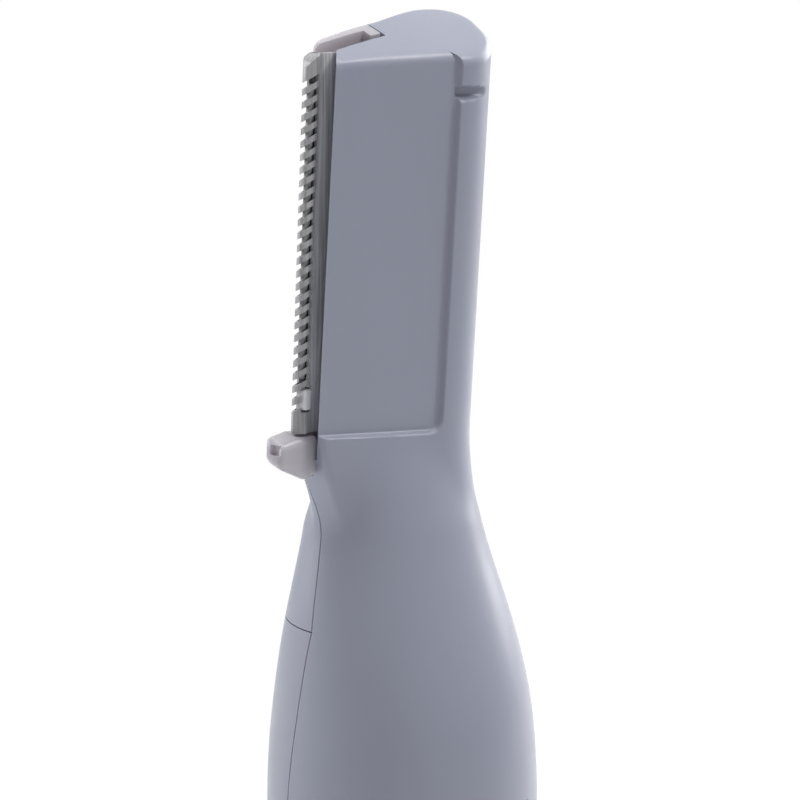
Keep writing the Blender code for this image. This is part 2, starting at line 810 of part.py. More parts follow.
def switch_well():
    """Shallow well round the power button, with a pointed top end."""
    half = SWITCH_WELL_WIDTH / 2
    low = SWITCH_Z - SWITCH_WELL_LOW
    top = SWITCH_Z + SWITCH_WELL_TOP
    outline = [(-half, low + half / 2), (-half / 2, low), (half / 2, low), (half, low + half / 2)]
    outline += [(half, top - SWITCH_WELL_POINT), (0.0, top), (-half, top - SWITCH_WELL_POINT)]
    axes = Matrix((Vector((0, 1, 0)), Vector((0, 0, 1)), Vector((1, 0, 0)))).transposed().to_4x4()
    deep = GRIP_RADIUS - SWITCH_WELL_DEPTH
    return prism("switch_well", outline, deep, 2 * GRIP_RADIUS, switch_matrix() @ axes)


def switch_window():
    """Slot that the button's stem travels in."""
    half = STEM_WIDTH / 2 + RUNNING_GAP
    low = SWITCH_Z - SWITCH_TRAVEL / 2 - STEM_HEIGHT / 2 - SEAM_GAP
    high = SWITCH_Z + SWITCH_TRAVEL / 2 + STEM_HEIGHT / 2 + SEAM_GAP
    return switch_box("switch_window", (GRIP_RADIUS / 2, -half, low), (2 * GRIP_RADIUS, half, high))


def build_rear_shell():
    """Back of the handle and neck."""
    shell = loft("rear_shell", body_rings())
    cut(shell, loft("rear_cavity", cavity_rings()))
    boss_radius = SCREW_HEAD + SCREW_CLEAR + BOSS_WALL
    reach = 2 * GRIP_RADIUS
    boss_front = PART_LOW_Y + PART_SWEEP
    boss_back = SCREW_SEAT_Y + WALL
    for side in (-1, 1):
        x = side * SCREW_X
        join(shell, round_hole("rear_boss", boss_radius, x, SCREW_Z, boss_front, boss_back))
    behind = parting_outline(SEAM_GAP / 2, CAP_TOP + SEAM_GAP, REAR_TOP - SEAM_GAP / 2)
    keep(shell, side_prism("rear_space", behind, -reach, reach))
    cover_space = side_prism("rear_cover_space", cover_outline(0.0), -reach, COVER_INNER + SEAM_GAP)
    cut(shell, cover_space)
    cut(shell, pocket_cutter("rear_pocket"), rod_passage(), head_core())
    for side in (-1, 1):
        x = side * SCREW_X
        hole = round_hole("screw_hole", SCREW_SHANK + SCREW_CLEAR, x, SCREW_Z, -reach, reach)
        head = round_hole("head_hole", SCREW_HEAD + SCREW_CLEAR, x, SCREW_Z, SCREW_SEAT_Y, reach)
        cut(shell, hole, head)
    return finish(shell, BODY_GREY, 0.38)


def build_neck_cover():
    """Curved cover on the left of the neck."""
    cover = loft("neck_side_cover", body_rings())
    cut(cover, loft("cover_cavity", cavity_rings()))
    window = side_prism("cover_space", cover_outline(SEAM_GAP), -2 * GRIP_RADIUS, COVER_INNER)
    keep(cover, window)
    cut(cover, pocket_cutter("cover_pocket"), rod_passage())
    return finish(cover, BODY_GREY, 0.36)


def comb_outline():
    """Section of the folded comb sheet in s and t, outer side first."""
    outer = NOSE_RADIUS
    inner = NOSE_RADIUS - SHEET
    front = SHEET_GAP
    middle = front - JOG + outer
    centre = (NOSE_REACH - outer, middle)
    jog_start = FLANGE_SHOW
    jog_end = FLANGE_SHOW + JOG
    outline = [(-FLANGE_LENGTH, front), (jog_start, front), (jog_end, front - JOG)]
    outline += arc(centre, outer, -90.0, 90.0, NOSE_STEPS)
    outline += [(REAR_LEG_END, middle + outer), (REAR_LEG_END, middle + inner)]
    outline += arc(centre, inner, 90.0, -90.0, NOSE_STEPS)
    outline += [(jog_end + SHEET / 2, front - JOG + SHEET), (jog_start + SHEET / 2, front + SHEET)]
    outline += [(-FLANGE_LENGTH, front + SHEET)]
    return outline


def nose_centre():
    """Middle of the comb's folded nose in s and t."""
    return NOSE_REACH - NOSE_RADIUS, SHEET_GAP - JOG + NOSE_RADIUS


def slot_cutter(name, root, low_index, width, shift):
    """Slanted boxes that cut the gaps between the teeth."""
    shape = bmesh.new()
    reach = 2 * NOSE_REACH
    slant = math.radians(SLOT_SLANT)
    tip, middle = nose_centre()
    tip += NOSE_RADIUS * math.cos(math.radians(SLOT_TURN))
    middle += NOSE_RADIUS * math.sin(math.radians(SLOT_TURN))
    for index in range(low_index, TOOTH_COUNT + 1):
        height = FIRST_TOOTH + (index - 0.5) * TOOTH_PITCH + shift
        made = bmesh.ops.create_cube(shape, size=1.0)["verts"]
        bmesh.ops.scale(shape, vec=(reach, reach, width), verts=made)
        bmesh.ops.translate(shape, vec=(reach / 2 + root - tip, 0.0, 0.0), verts=made)
        for corner in made:
            corner.co.z += (corner.co.x + corner.co.y) * math.tan(slant)
        bmesh.ops.translate(shape, vec=(tip, middle, -height), verts=made)
    return mesh_object(name, shape, slab_matrix())


def build_fixed_comb():
    """Folded steel comb, slotted across its nose, with a window for the latch."""
    comb = slab_prism("fixed_comb", comb_outline(), COMB_FOOT, COMB_TOP)
    cut(comb, slot_cutter("comb_slots", SLOT_ROOT, 0, SLOT_WIDTH, 0.0))
    side = SHEET_GAP + SHEET_GAP / 2
    low = (LATCH_INNER - side, -NOSE_RADIUS, LATCH_NECK - side)
    high = (LATCH_OUTER + side, LATCH_FRONT + side, LATCH_TOP + side)
    cut(comb, slab_box("latch_window", low, high))
    fall = NOSE_REACH * math.tan(math.radians(SLOT_SLANT))
    outline = [(FLANGE_SHOW, COMB_TOP), (FLANGE_SHOW + 2 * NOSE_REACH, COMB_TOP - 2 * fall)]
    outline += [(FLANGE_SHOW + 2 * NOSE_REACH, 2 * COMB_TOP), (FLANGE_SHOW, 2 * COMB_TOP)]
    cut(comb, sheet_prism("comb_end", outline, -2 * NOSE_REACH, 2 * NOSE_REACH))
    return finish(comb, STEEL, 0.30, 1.0, 30.0)


def build_comb_latch():
    """Small hook that rises inside the comb's foot and shows in its window."""
    foot_low = (LATCH_INNER, LATCH_FRONT, COMB_FOOT)
    foot = slab_box("comb_latch", foot_low, (LATCH_OUTER, LATCH_BACK, LATCH_TOP))
    hook_low = (LATCH_INNER, -JOG + SHEET_GAP, LATCH_NECK)
    hook_high = (LATCH_OUTER, (LATCH_FRONT + LATCH_BACK) / 2, LATCH_TOP)
    join(foot, slab_box("latch_hook", hook_low, hook_high))
    return finish(foot, WHITE_PLASTIC, 0.4)


def web_front():
    """Front of the blade's web, just behind the comb's flange."""
    return 2 * SHEET_GAP + SHEET


def blade_outline():
    """Section of the moving blade: a thick toothed edge on a thin web."""
    middle = nose_centre()[1]
    half_edge = BLADE_EDGE / 2
    front = web_front()
    back = front + BLADE_SHEET
    centre = (NOSE_REACH - BLADE_NOSE - half_edge, middle)
    outline = [(BLADE_INNER, back), (BLADE_INNER, front), (BLADE_STEP, front)]
    outline += arc(centre, half_edge, -90.0, 90.0, NOSE_STEPS // 2)
    outline.append((BLADE_STEP, back))
    return outline


def build_moving_blade():
    """Toothed cutter inside the comb's fold."""
    blade = slab_prism("moving_blade", blade_outline(), BLADE_LOW, BLADE_TOP)
    foot_low = (LATCH_INNER - RUNNING_GAP, -NOSE_REACH, BLADE_LOW - STROKE)
    cut(blade, slab_box("blade_foot", foot_low, (2 * NOSE_REACH, NOSE_REACH, BLADE_TEETH_LOW)))
    first = math.ceil((BLADE_TEETH_LOW - FIRST_TOOTH) / TOOTH_PITCH + 1.0)
    cut(blade, slot_cutter("blade_slots", BLADE_STEP, first, SLOT_WIDTH, TOOTH_PITCH * BLADE_PHASE))
    half = FINGER_HEIGHT / 2 + RUNNING_GAP
    notch_low = (BLADE_INNER - FINGER_LENGTH, -NOSE_REACH, FINGER_W - half)
    notch_high = (BLADE_INNER + FINGER_LENGTH, NOSE_REACH, FINGER_W + half)
    cut(blade, slab_box("finger_notch", notch_low, notch_high))
    return finish(blade, STEEL, 0.25, 1.0, 30.0)


def build_blade_spring():
    """Bowed leaf spring between the frame's channel and the blade's web."""
    front = web_front() + BLADE_SHEET + SHEET_GAP
    back = CHANNEL_DEPTH + FRAME_FRONT - SHEET_GAP
    bow = back - front - SPRING_SHEET
    middle = (BLADE_TEETH_LOW + BLADE_TOP) / 2
    near, far = [], []
    for index in range(ARC_STEPS + 1):
        share = 2.0 * index / ARC_STEPS - 1.0
        height = middle + share * SPRING_LENGTH / 2
        near.append((front + bow * share**2, height))
        far.append((front + bow * share**2 + SPRING_SHEET, height))
    axes = Matrix((Vector((0, 1, 0)), Vector((0, 0, -1)), Vector((-1, 0, 0)))).transposed().to_4x4()
    inner = CHANNEL_INNER + SHEET_GAP * 3
    outline = near + list(reversed(far))
    spring = prism("blade_spring", outline, -inner - SPRING_WIDTH, -inner, slab_matrix() @ axes)
    return finish(spring, STEEL, 0.35, 1.0)


def build_blade_frame():
    """Plastic carrier behind the comb, flush with the head, with the thumb tab at its foot."""
    frame = loft("blade_frame", body_rings())
    reach = 3 * TAB_REACH
    inner = -POCKET_DEPTH + SEAM_GAP
    low = FRAME_LOW + SEAM_GAP
    high = 2 * HEAD_HEIGHT
    outline = [(inner, low), (TAB_INNER, low), (TAB_INNER, TAB_FLOOR)]
    outline += [(reach, TAB_FLOOR), (reach, high), (inner, high)]
    keep(frame, sheet_prism("frame_slab", outline, FRAME_FRONT, reach))
    join(frame, thumb_tab())
    channel_low = (CHANNEL_INNER, -NOSE_REACH, COMB_FOOT - SHEET_GAP * 2)
    channel_high = (NOSE_REACH + SHEET_GAP * 2, FRAME_FRONT + CHANNEL_DEPTH, COMB_TOP + SHEET_GAP * 2)
    cut(frame, slab_box("blade_channel", channel_low, channel_high))
    return finish(frame, FRAME_GREY, 0.40)


def thumb_tab():
    """Rounded tab below the comb's nose; its top falls to the front and to its tip."""
    outline = [
        (TAB_INNER, TAB_FLOOR),
        (0.0, TAB_FLOOR),
        (TAB_REACH / 4, TAB_FLOOR + TAB_ROUND),
        (TAB_REACH, TAB_TIP_FLOOR),
        (TAB_REACH, TAB_TIP_TOP),
        (TAB_REACH / 2, TAB_TOP),
        (TAB_INNER, TAB_TOP),
    ]
    tab = sheet_prism("thumb_tab", outline, TAB_FRONT, TAB_BACK)
    for vertex in tab.data.vertices:
        vertex.co.y -= TAB_TILT * (TAB_BACK - vertex.co.z)
    round_edges(tab, TAB_ROUND, CORNER_STEPS)
    front_clear = (TAB_INNER - TAB_ROUND, 2 * TAB_FRONT, 2 * TAB_FLOOR)
    cut(tab, slab_box("plate_clear", front_clear, (-TAB_FRONT, FRAME_FRONT, TAB_REACH)))
    middle = (TAB_TIP_TOP + TAB_TIP_FLOOR) / 2
    recess_low = (TAB_REACH - SHEET, TAB_BACK - 2 * TAB_RECESS, middle - TAB_RECESS / 2)
    recess_high = (2 * TAB_REACH, TAB_BACK - TAB_RECESS, middle + TAB_RECESS / 2)
    cut(tab, slab_box("tab_recess", recess_low, recess_high))
    return tab


def round_edges(part, width, segments):
    """Round the edges of a box-like part."""
    shape = bmesh.new()
    shape.from_mesh(part.data)
    flat = math.radians(1.0)
    bmesh.ops.dissolve_limit(shape, angle_limit=flat, verts=shape.verts, edges=shape.edges)
    edges = list(shape.edges)
    bmesh.ops.bevel(shape, geom=edges, offset=width, segments=segments, profile=0.5, affect="EDGES")
    shape.to_mesh(part.data)
    shape.free()
    return part


def rod_matrix():
    """Head frame at the drive rod's axis."""
    return head_matrix() @ Matrix.Translation((ROD_U, ROD_V, 0.0))


def lever_tip():
    """Middle of the lever's round tip."""
    return Vector((PIVOT_X - LEVER_ARM, ROD_V, PIVOT_Z))


def build_drive_rod():
    """Rod between the lever's tip and the moving blade."""
    tip = head_matrix().inverted() @ lever_tip()
    half = ROD_WIDTH / 2
    eye_half = LEVER_TIP + RUNNING_GAP + EYE_WALL
    rod = box("drive_rod", (-half, -half, tip.z), (half, half, ROD_TOP), rod_matrix())
    centre = tip.x - ROD_U
    left = min(-half, centre - LEVER_TIP - RUNNING_GAP - EYE_BACK)
    eye_high = (centre + LEVER_TIP, half, tip.z + eye_half)
    eye = box("rod_eye", (left, -half, tip.z - eye_half), eye_high, rod_matrix())
    join(rod, eye)
    slot_low = (centre - LEVER_TIP - RUNNING_GAP, -2 * half, tip.z - LEVER_TIP - RUNNING_GAP)
    slot_high = (centre + 3 * LEVER_TIP, 2 * half, tip.z + LEVER_TIP + RUNNING_GAP)
    cut(rod, box("eye_slot", slot_low, slot_high, rod_matrix()))
    height = FINGER_HEIGHT / 2
    low = (BLADE_INNER - FINGER_LENGTH, FINGER_FRONT, FINGER_W - height)
    high = (BLADE_INNER + FINGER_LENGTH - SHEET, FINGER_BACK, FINGER_W + height)
    join(rod, slab_box("rod_finger", low, high))
    return finish(rod, WHITE_PLASTIC, 0.4)


def crank_top():
    return CAM_BOTTOM + CAM_HEIGHT + CRANK_LENGTH


def build_drive_lever():
    """Bell crank: a fork below that the crank pin rocks, and a side arm that lifts the rod."""
    front = ROD_V - LEVER_THICKNESS / 2
    back = ROD_V + LEVER_THICKNESS / 2
    lever = round_hole("drive_lever", LEVER_HUB, PIVOT_X, PIVOT_Z, front, back)
    tip = lever_tip()
    arm_half = LEVER_TIP * LEVER_THINNING
    arm = box("side_arm", (tip.x, front, PIVOT_Z - arm_half), (PIVOT_X, back, PIVOT_Z + arm_half))
    ball = round_hole("arm_tip", LEVER_TIP, tip.x, tip.z, front, back)
    gap = CRANK_RADIUS + FORK_CLEAR
    outer = gap + FORK_TINE
    bridge = crank_top() + 2 * SEAM_GAP
    stem = box("stem", (PIVOT_X - STEM_HALF, front, bridge), (PIVOT_X + STEM_HALF, back, PIVOT_Z))
    fork = box("fork", (-outer, front, crank_top() - FORK_DEPTH), (outer, back, bridge + FORK_TINE))
    join(lever, arm, ball, stem, fork)
    reach = 2 * LEVER_HUB
    cut(lever, box("fork_slot", (-gap, -reach, 0.0), (gap, reach, bridge)))
    cut(lever, round_hole("pivot_bore", PIVOT_RADIUS + RUNNING_GAP, PIVOT_X, PIVOT_Z, -reach, reach))
    lever.data.transform(depth_matrix(PIVOT_X, PIVOT_Z).inverted() @ lever.matrix_world)
    lever.matrix_world = depth_matrix(PIVOT_X, PIVOT_Z)
    return finish(lever, WHITE_PLASTIC, 0.4)


def build_lever_pin():
    """Steel pin across the neck that the lever rocks on."""
    half = bore_at_pivot() - SEAM_GAP
    pin = round_hole("lever_pin", PIVOT_RADIUS, PIVOT_X, PIVOT_Z, -half, half)
    return finish(pin, STEEL, 0.3, 1.0)


def bore_at_pivot():
    """Half depth of the shells' inside, across the lever's pivot."""
    best = GRIP_RADIUS
    for index in range(10 * SHOULDER_STEPS):
        height, radius = shoulder_station(index / (10 * SHOULDER_STEPS))
        if height <= PIVOT_Z + PIVOT_RADIUS:
            best = max(point.y for point in handle_ring(height, radius, WALL))
    return best * math.sqrt(1.0 - ((PIVOT_X + PIVOT_RADIUS) / best) ** 2)


def build_motor_can():
    """Pressed steel can with two flats and a bearing boss."""
    bottom = MOTOR_BASE + END_CAP_LENGTH + SEAM_GAP
    profile = [(0.0, CAN_TOP + BOSS_LENGTH), (BOSS_RADIUS, CAN_TOP + BOSS_LENGTH), (BOSS_RADIUS, CAN_TOP)]
    profile += [(CAN_RADIUS, CAN_TOP), (CAN_RADIUS, bottom), (0.0, bottom)]
    can = turned("motor_can", profile)
    hollow_radius = CAN_RADIUS - CAN_WALL
    hollow = cylinder("can_hollow", hollow_radius, MOTOR_BASE, CAN_TOP - CAN_WALL, steps=ROUND_STEPS)
    cut_flats(can, CAN_FLAT)
    cut_flats(hollow, CAN_FLAT - CAN_WALL)
    bore = cylinder("shaft_bore", SHAFT_RADIUS + RUNNING_GAP, MOTOR_BASE, 2 * CAN_TOP)
    return finish(cut(can, hollow, bore), STEEL, 0.32, 1.0)


def cut_flats(part, flat):
    """Cut the motor's two flats, toward the switch and away from it."""
    reach = 2 * CAN_RADIUS
    for side in (-1, 1):
        near, far = sorted((side * flat, side * reach))
        cut(part, switch_box("motor_flat", (near, -reach, 0.0), (far, reach, 2 * CAN_TOP)))
    return part


def build_motor_end_cap():
    """Plastic end cap with the motor's brushes, bored for the shaft's end."""
    top = MOTOR_BASE + END_CAP_LENGTH
    hole = SHAFT_RADIUS + RUNNING_GAP
    profile = [(hole, top), (CAN_RADIUS, top), (CAN_RADIUS, MOTOR_BASE), (hole, MOTOR_BASE)]
    cap = turned("motor_end_cap", profile, closed=True)
    cut_flats(cap, CAN_FLAT)
    return finish(cap, WHITE_PLASTIC, 0.5)


def build_magnet_ring():
    """Ring magnet inside the can."""
    outer = CAN_FLAT - CAN_WALL - SHEET_GAP
    inner = ARMATURE_RADIUS + SHEET_GAP * 2
    bottom = MOTOR_BASE + END_CAP_LENGTH + 2 * SEAM_GAP
    top = CAN_TOP - CAN_WALL - SEAM_GAP
    profile = [(inner, top), (outer, top), (outer, bottom), (inner, bottom)]
    ring = turned("motor_magnet_ring", profile, closed=True)
    return finish(ring, DARK_PLASTIC, 0.6)


def build_motor_shaft():
    """Shaft from the end cap's bearing up into the cam."""
    bottom = MOTOR_BASE + SEAM_GAP
    profile = [(0.0, SHAFT_TOP), (SHAFT_RADIUS, SHAFT_TOP), (SHAFT_RADIUS, bottom), (0.0, bottom)]
    shaft = turned("motor_shaft", profile, SMALL_STEPS)
    return finish(shaft, STEEL, 0.2, 1.0)


def build_armature():
    """Wound rotor, with its commutator below."""
    hole = SHAFT_RADIUS + SHEET_GAP
    bottom = MOTOR_BASE + END_CAP_LENGTH + 2 * SEAM_GAP
    top = CAN_TOP - CAN_WALL - 2 * SEAM_GAP
    collar = (SHAFT_RADIUS + ARMATURE_RADIUS) / 2
    step = bottom + (top - bottom) / 4
    profile = [(hole, top), (ARMATURE_RADIUS, top), (ARMATURE_RADIUS, step)]
    profile += [(collar, step), (collar, bottom), (hole, bottom)]
    return finish(turned("motor_armature", profile, closed=True), COPPER, 0.4, 0.6)


def build_cam():
    """Disc with an offset crank pin, pressed on the shaft."""
    hole = SHAFT_RADIUS + SHEET_GAP
    top = CAM_BOTTOM + CAM_HEIGHT
    profile = [(0.0, top), (CAM_RADIUS, top), (CAM_RADIUS, CAM_BOTTOM), (0.0, CAM_BOTTOM)]
    cam = turned("eccentric_cam", profile)
    place = Matrix.Translation((0.0, CRANK_OFFSET, 0.0))
    join(cam, cylinder("crank_pin", CRANK_RADIUS, top - SHEET, crank_top(), place))
    cut(cam, cylinder("cam_bore", hole, 0.0, SHAFT_TOP + SHEET_GAP))
    return finish(cam, WHITE_PLASTIC, 0.4)


def build_chassis():
    """Tube for the cell with a cup for the motor on top, centred by two flanges."""
    bore = CELL_RADIUS + SEAM_GAP
    outer = bore + CHASSIS_WALL
    cup = CAN_RADIUS + SEAM_GAP
    floor_top = CHASSIS_FLOOR + CHASSIS_FLOOR_THICK
    low_flange = bore_radius(LOW_FLANGE) - SEAM_GAP
    high_flange = bore_radius(GRIP_START) - SEAM_GAP
    hole = CELL_NUB_RADIUS
    profile = [
        (cup, CHASSIS_TOP),
        (cup + CHASSIS_WALL / 2, CHASSIS_TOP),
        (cup + CHASSIS_WALL / 2, floor_top),
        (high_flange, floor_top),
        (high_flange, floor_top - FLANGE_THICK),
        (outer, floor_top - FLANGE_THICK),
        (outer, LOW_FLANGE + FLANGE_THICK),
        (low_flange, LOW_FLANGE + FLANGE_THICK),
        (low_flange, LOW_FLANGE),
        (outer, LOW_FLANGE),
        (outer, CHASSIS_BOTTOM),
        (bore, CHASSIS_BOTTOM),
        (bore, CHASSIS_FLOOR),
        (hole, CHASSIS_FLOOR),
        (hole, floor_top),
        (cup, floor_top),
    ]
    chassis = turned("inner_chassis", profile, closed=True)
    lane = STRIP_LANE + STRIP_WIDTH / 2 + SEAM_GAP
    outside = 2 * GRIP_RADIUS
    lane_low = (STRIP_RADIUS - SHEET_GAP, -lane, 0.0)
    cut(chassis, switch_box("strip_lane", lane_low, (outside, lane, CHASSIS_TOP * 2)))
    return finish(chassis, DARK_PLASTIC, 0.5)


def build_cell():
    """AAA cell, its positive end up."""
    shoulder = CELL_BOTTOM + CELL_LENGTH
    top = shoulder + CELL_NUB
    profile = [(0.0, top), (CELL_NUB_RADIUS, top), (CELL_NUB_RADIUS, shoulder), (CELL_RADIUS, shoulder)]
    profile += [(CELL_RADIUS, CELL_BOTTOM), (0.0, CELL_BOTTOM)]
    return finish(turned("battery_cell", profile), CELL_BLUE, 0.3, 0.5)


def build_positive_contact():
    """Disc above the cell's positive end, with a lug up to the motor."""
    bottom = CELL_BOTTOM + CELL_LENGTH + CELL_NUB + SEAM_GAP
    top = bottom + CONTACT_SHEET
    profile = [(0.0, top), (CONTACT_RADIUS, top), (CONTACT_RADIUS, bottom), (0.0, bottom)]
    disc = turned("positive_contact", profile, SMALL_STEPS)
    half = STRIP_WIDTH / 2
    lug_high = (half, CONTACT_SHEET / 2, MOTOR_BASE - SEAM_GAP)
    lug = box("lug", (-half, -CONTACT_SHEET / 2, bottom + CONTACT_SHEET / 2), lug_high)
    return finish(join(disc, lug), BRASS, 0.3, 1.0)


def build_negative_strip():
    """Strip from the cap's contact up the chassis to the switch."""
    lane_low, lane_high = STRIP_LANE - STRIP_WIDTH / 2, STRIP_LANE + STRIP_WIDTH / 2
    outer = STRIP_RADIUS + CONTACT_SHEET
    foot = CAP_TOP + PLUG_LENGTH + SEAM_GAP
    riser = CELL_RADIUS + SHEET_GAP
    strip = switch_box("negative_strip", (STRIP_RADIUS, lane_low, foot), (outer, lane_high, STRIP_TURN))
    toe = switch_box("strip_toe", (riser, lane_low, foot), (outer, lane_high, foot + CONTACT_SHEET))
    turn_low = (BLADE_RADIUS, lane_low, STRIP_TURN - CONTACT_SHEET)
    step = switch_box("strip_step", turn_low, (outer, lane_high, STRIP_TURN))
    end = switch_box("strip_end", turn_low, (BLADE_RADIUS + CONTACT_SHEET, lane_high, STRIP_END))
    return finish(join(strip, toe, step, end), BRASS, 0.3, 1.0)


def build_motor_strip():
    """Strip from the switch down the can's flat to the motor's end cap."""
    lane_low, lane_high = -STRIP_LANE - STRIP_WIDTH / 2, -STRIP_LANE + STRIP_WIDTH / 2
    low_radius = CAN_FLAT + SHEET_GAP
    strip = switch_box(
        "motor_strip",
        (low_radius, lane_low, MOTOR_BASE),
        (low_radius + CONTACT_SHEET, lane_high, MOTOR_STRIP_TURN),
    )
    step = switch_box(
        "motor_step",
        (low_radius, lane_low, MOTOR_STRIP_TURN - CONTACT_SHEET),
        (BLADE_RADIUS + CONTACT_SHEET, lane_high, MOTOR_STRIP_TURN),
    )
    end = switch_box(
        "motor_end",
        (BLADE_RADIUS, lane_low, MOTOR_STRIP_TURN - CONTACT_SHEET),
        (BLADE_RADIUS + CONTACT_SHEET, lane_high, MOTOR_STRIP_END),
    )
    return finish(join(strip, step, end), BRASS, 0.3, 1.0)


def build_switch_bridge():
    """Contact plate that the button slides over both strips."""
    near = BLADE_RADIUS + CONTACT_SHEET + SHEET_GAP
    middle = STRIP_END - BRIDGE_HEIGHT / 2 + BRIDGE_SHIFT
    half = BRIDGE_WIDTH / 2
    bridge = switch_box(
        "switch_bridge",
        (near, -half, middle - BRIDGE_HEIGHT / 2),
        (near + CONTACT_SHEET, half, middle + BRIDGE_HEIGHT / 2),
    )
    return finish(bridge, BRASS, 0.3, 1.0)


def build_switch_button():
    """Ribbed power slide with its stem and the keeper inside the shell, in the off position."""
    rest = SWITCH_Z - SWITCH_TRAVEL / 2
    floor = GRIP_RADIUS - SWITCH_WELL_DEPTH
    half = BUTTON_WIDTH / 2
    button = switch_box(
        "switch_button",
        (floor + SHEET_GAP, -half, rest - BUTTON_HEIGHT / 2),
        (GRIP_RADIUS + BUTTON_RISE, half, rest + BUTTON_HEIGHT / 2),
    )
    round_edges(button, BUTTON_RISE / 3, 1)
    for index in range(BUTTON_RIBS):
        height = rest + (index - (BUTTON_RIBS - 1) / 2) * BUTTON_HEIGHT / (BUTTON_RIBS + 2)
        groove_low = (GRIP_RADIUS + BUTTON_RISE - BUTTON_RIB, -2 * half, height - BUTTON_RIB)
        groove = switch_box("groove", groove_low, (2 * GRIP_RADIUS, 2 * half, height + BUTTON_RIB))
        cut(button, groove)
    stem_half = STEM_WIDTH / 2
    stem_low = (KEEPER_RADIUS + KEEPER_THICK / 2, -stem_half, rest - STEM_HEIGHT / 2)
    stem = switch_box("button_stem", stem_low, (floor + BUTTON_RIB, stem_half, rest + STEM_HEIGHT / 2))
    keeper = switch_box(
        "keeper",
        (KEEPER_RADIUS, -KEEPER_WIDTH / 2, rest - KEEPER_HEIGHT / 2),
        (KEEPER_RADIUS + KEEPER_THICK, KEEPER_WIDTH / 2, rest + KEEPER_HEIGHT / 2),
    )
    join(button, stem, keeper)
    return finish(button, DARK_PLASTIC, 0.5)


def plug_radius():
    return bore_radius(CAP_TOP) - SEAM_GAP


def build_cap():
    """Pull-off cap with the flat foot and the plug that seals into the shells."""
    top = CAP_TOP + PLUG_LENGTH
    plug = plug_radius()
    groove = bore_radius(SEAL_HEIGHT) - 2 * SEAL_RADIUS - 4 * SHEET_GAP
    low = SEAL_HEIGHT - SEAL_RADIUS - SHEET_GAP
    high = SEAL_HEIGHT + SEAL_RADIUS + SHEET_GAP
    profile = [(0.0, CAP_FLOOR), (CAP_BORE, CAP_FLOOR), (CAP_BORE, top), (plug, top)]
    profile += [(plug, high), (groove, high), (groove, low), (plug, low), (plug, CAP_TOP)]
    for share in range(4):
        height = CAP_TOP + (FOOT_ROUND - CAP_TOP) * share / 3
        profile.append((grip_radius(height), height))
    edge = grip_radius(FOOT_ROUND)
    profile += arc((edge - FOOT_ROUND, FOOT_ROUND), FOOT_ROUND, 0.0, -90.0, CORNER_STEPS)[1:]
    profile.append((0.0, 0.0))
    cap = turned("battery_cap", profile)
    return finish(cap, BODY_GREY, 0.38)


def build_seal():
    """O-ring in the plug's groove."""
    wall = bore_radius(SEAL_HEIGHT) - 3 * SHEET_GAP
    centre = (wall - SEAL_RADIUS, SEAL_HEIGHT)
    profile = arc(centre, SEAL_RADIUS, 90.0, -270.0, 8)[:-1]
    return finish(turned("cap_seal_ring", profile, closed=True), DARK_PLASTIC, 0.6)


def build_cap_contact():
    """Disc under the coil spring, with a riser that meets the negative strip."""
    bottom = CAP_FLOOR + SHEET_GAP
    top = bottom + CONTACT_SHEET
    profile = [(0.0, top), (CAP_DISC_RADIUS, top), (CAP_DISC_RADIUS, bottom), (0.0, bottom)]
    disc = turned("cap_contact_strip", profile)
    near = CELL_RADIUS + SHEET_GAP
    riser = switch_box(
        "cap_riser",
        (near, STRIP_LANE - STRIP_WIDTH / 2, bottom),
        (near + CONTACT_SHEET, STRIP_LANE + STRIP_WIDTH / 2, CAP_TOP + PLUG_LENGTH),
    )
    toe = switch_box(
        "riser_toe",
        (CAP_DISC_RADIUS - STRIP_WIDTH, STRIP_LANE - STRIP_WIDTH / 2, bottom),
        (near + CONTACT_SHEET, STRIP_LANE + STRIP_WIDTH / 2, top),
    )
    return finish(join(disc, riser, toe), BRASS, 0.3, 1.0)


def build_coil():
    """Tapered coil between the cap's contact and the cell, one unbroken wire."""
    low = CAP_FLOOR + SHEET_GAP + CONTACT_SHEET + COIL_WIRE + SHEET_GAP
    high = CELL_BOTTOM - COIL_WIRE - SHEET_GAP
    count = COIL_TURNS * ARC_STEPS + 1
    curve = bpy.data.curves.new("battery_spring", "CURVE")
    curve.dimensions = "3D"
    curve.bevel_depth = COIL_WIRE
    curve.bevel_resolution = 1
    curve.use_fill_caps = True
    spline = curve.splines.new("POLY")
    spline.points.add(count - 1)
    for index, point in enumerate(spline.points):
        share = index / (count - 1)
        angle = math.radians(360.0) * COIL_TURNS * share
        radius = COIL_RADIUS - COIL_TAPER * share
        height = low + (high - low) * share
        point.co = (radius * math.cos(angle), radius * math.sin(angle), height, 1.0)
    holder = add_object("battery_spring_wire", curve)
    bpy.context.view_layer.update()
    evaluated = holder.evaluated_get(bpy.context.evaluated_depsgraph_get())
    mesh = bpy.data.meshes.new_from_object(evaluated)
    bpy.data.objects.remove(holder, do_unlink=True)
    shape = bmesh.new()
    shape.from_mesh(mesh)
    bmesh.ops.remove_doubles(shape, verts=shape.verts, dist=1e-6)
    return finish(mesh_object("battery_spring", shape), STEEL, 0.3, 1.0)


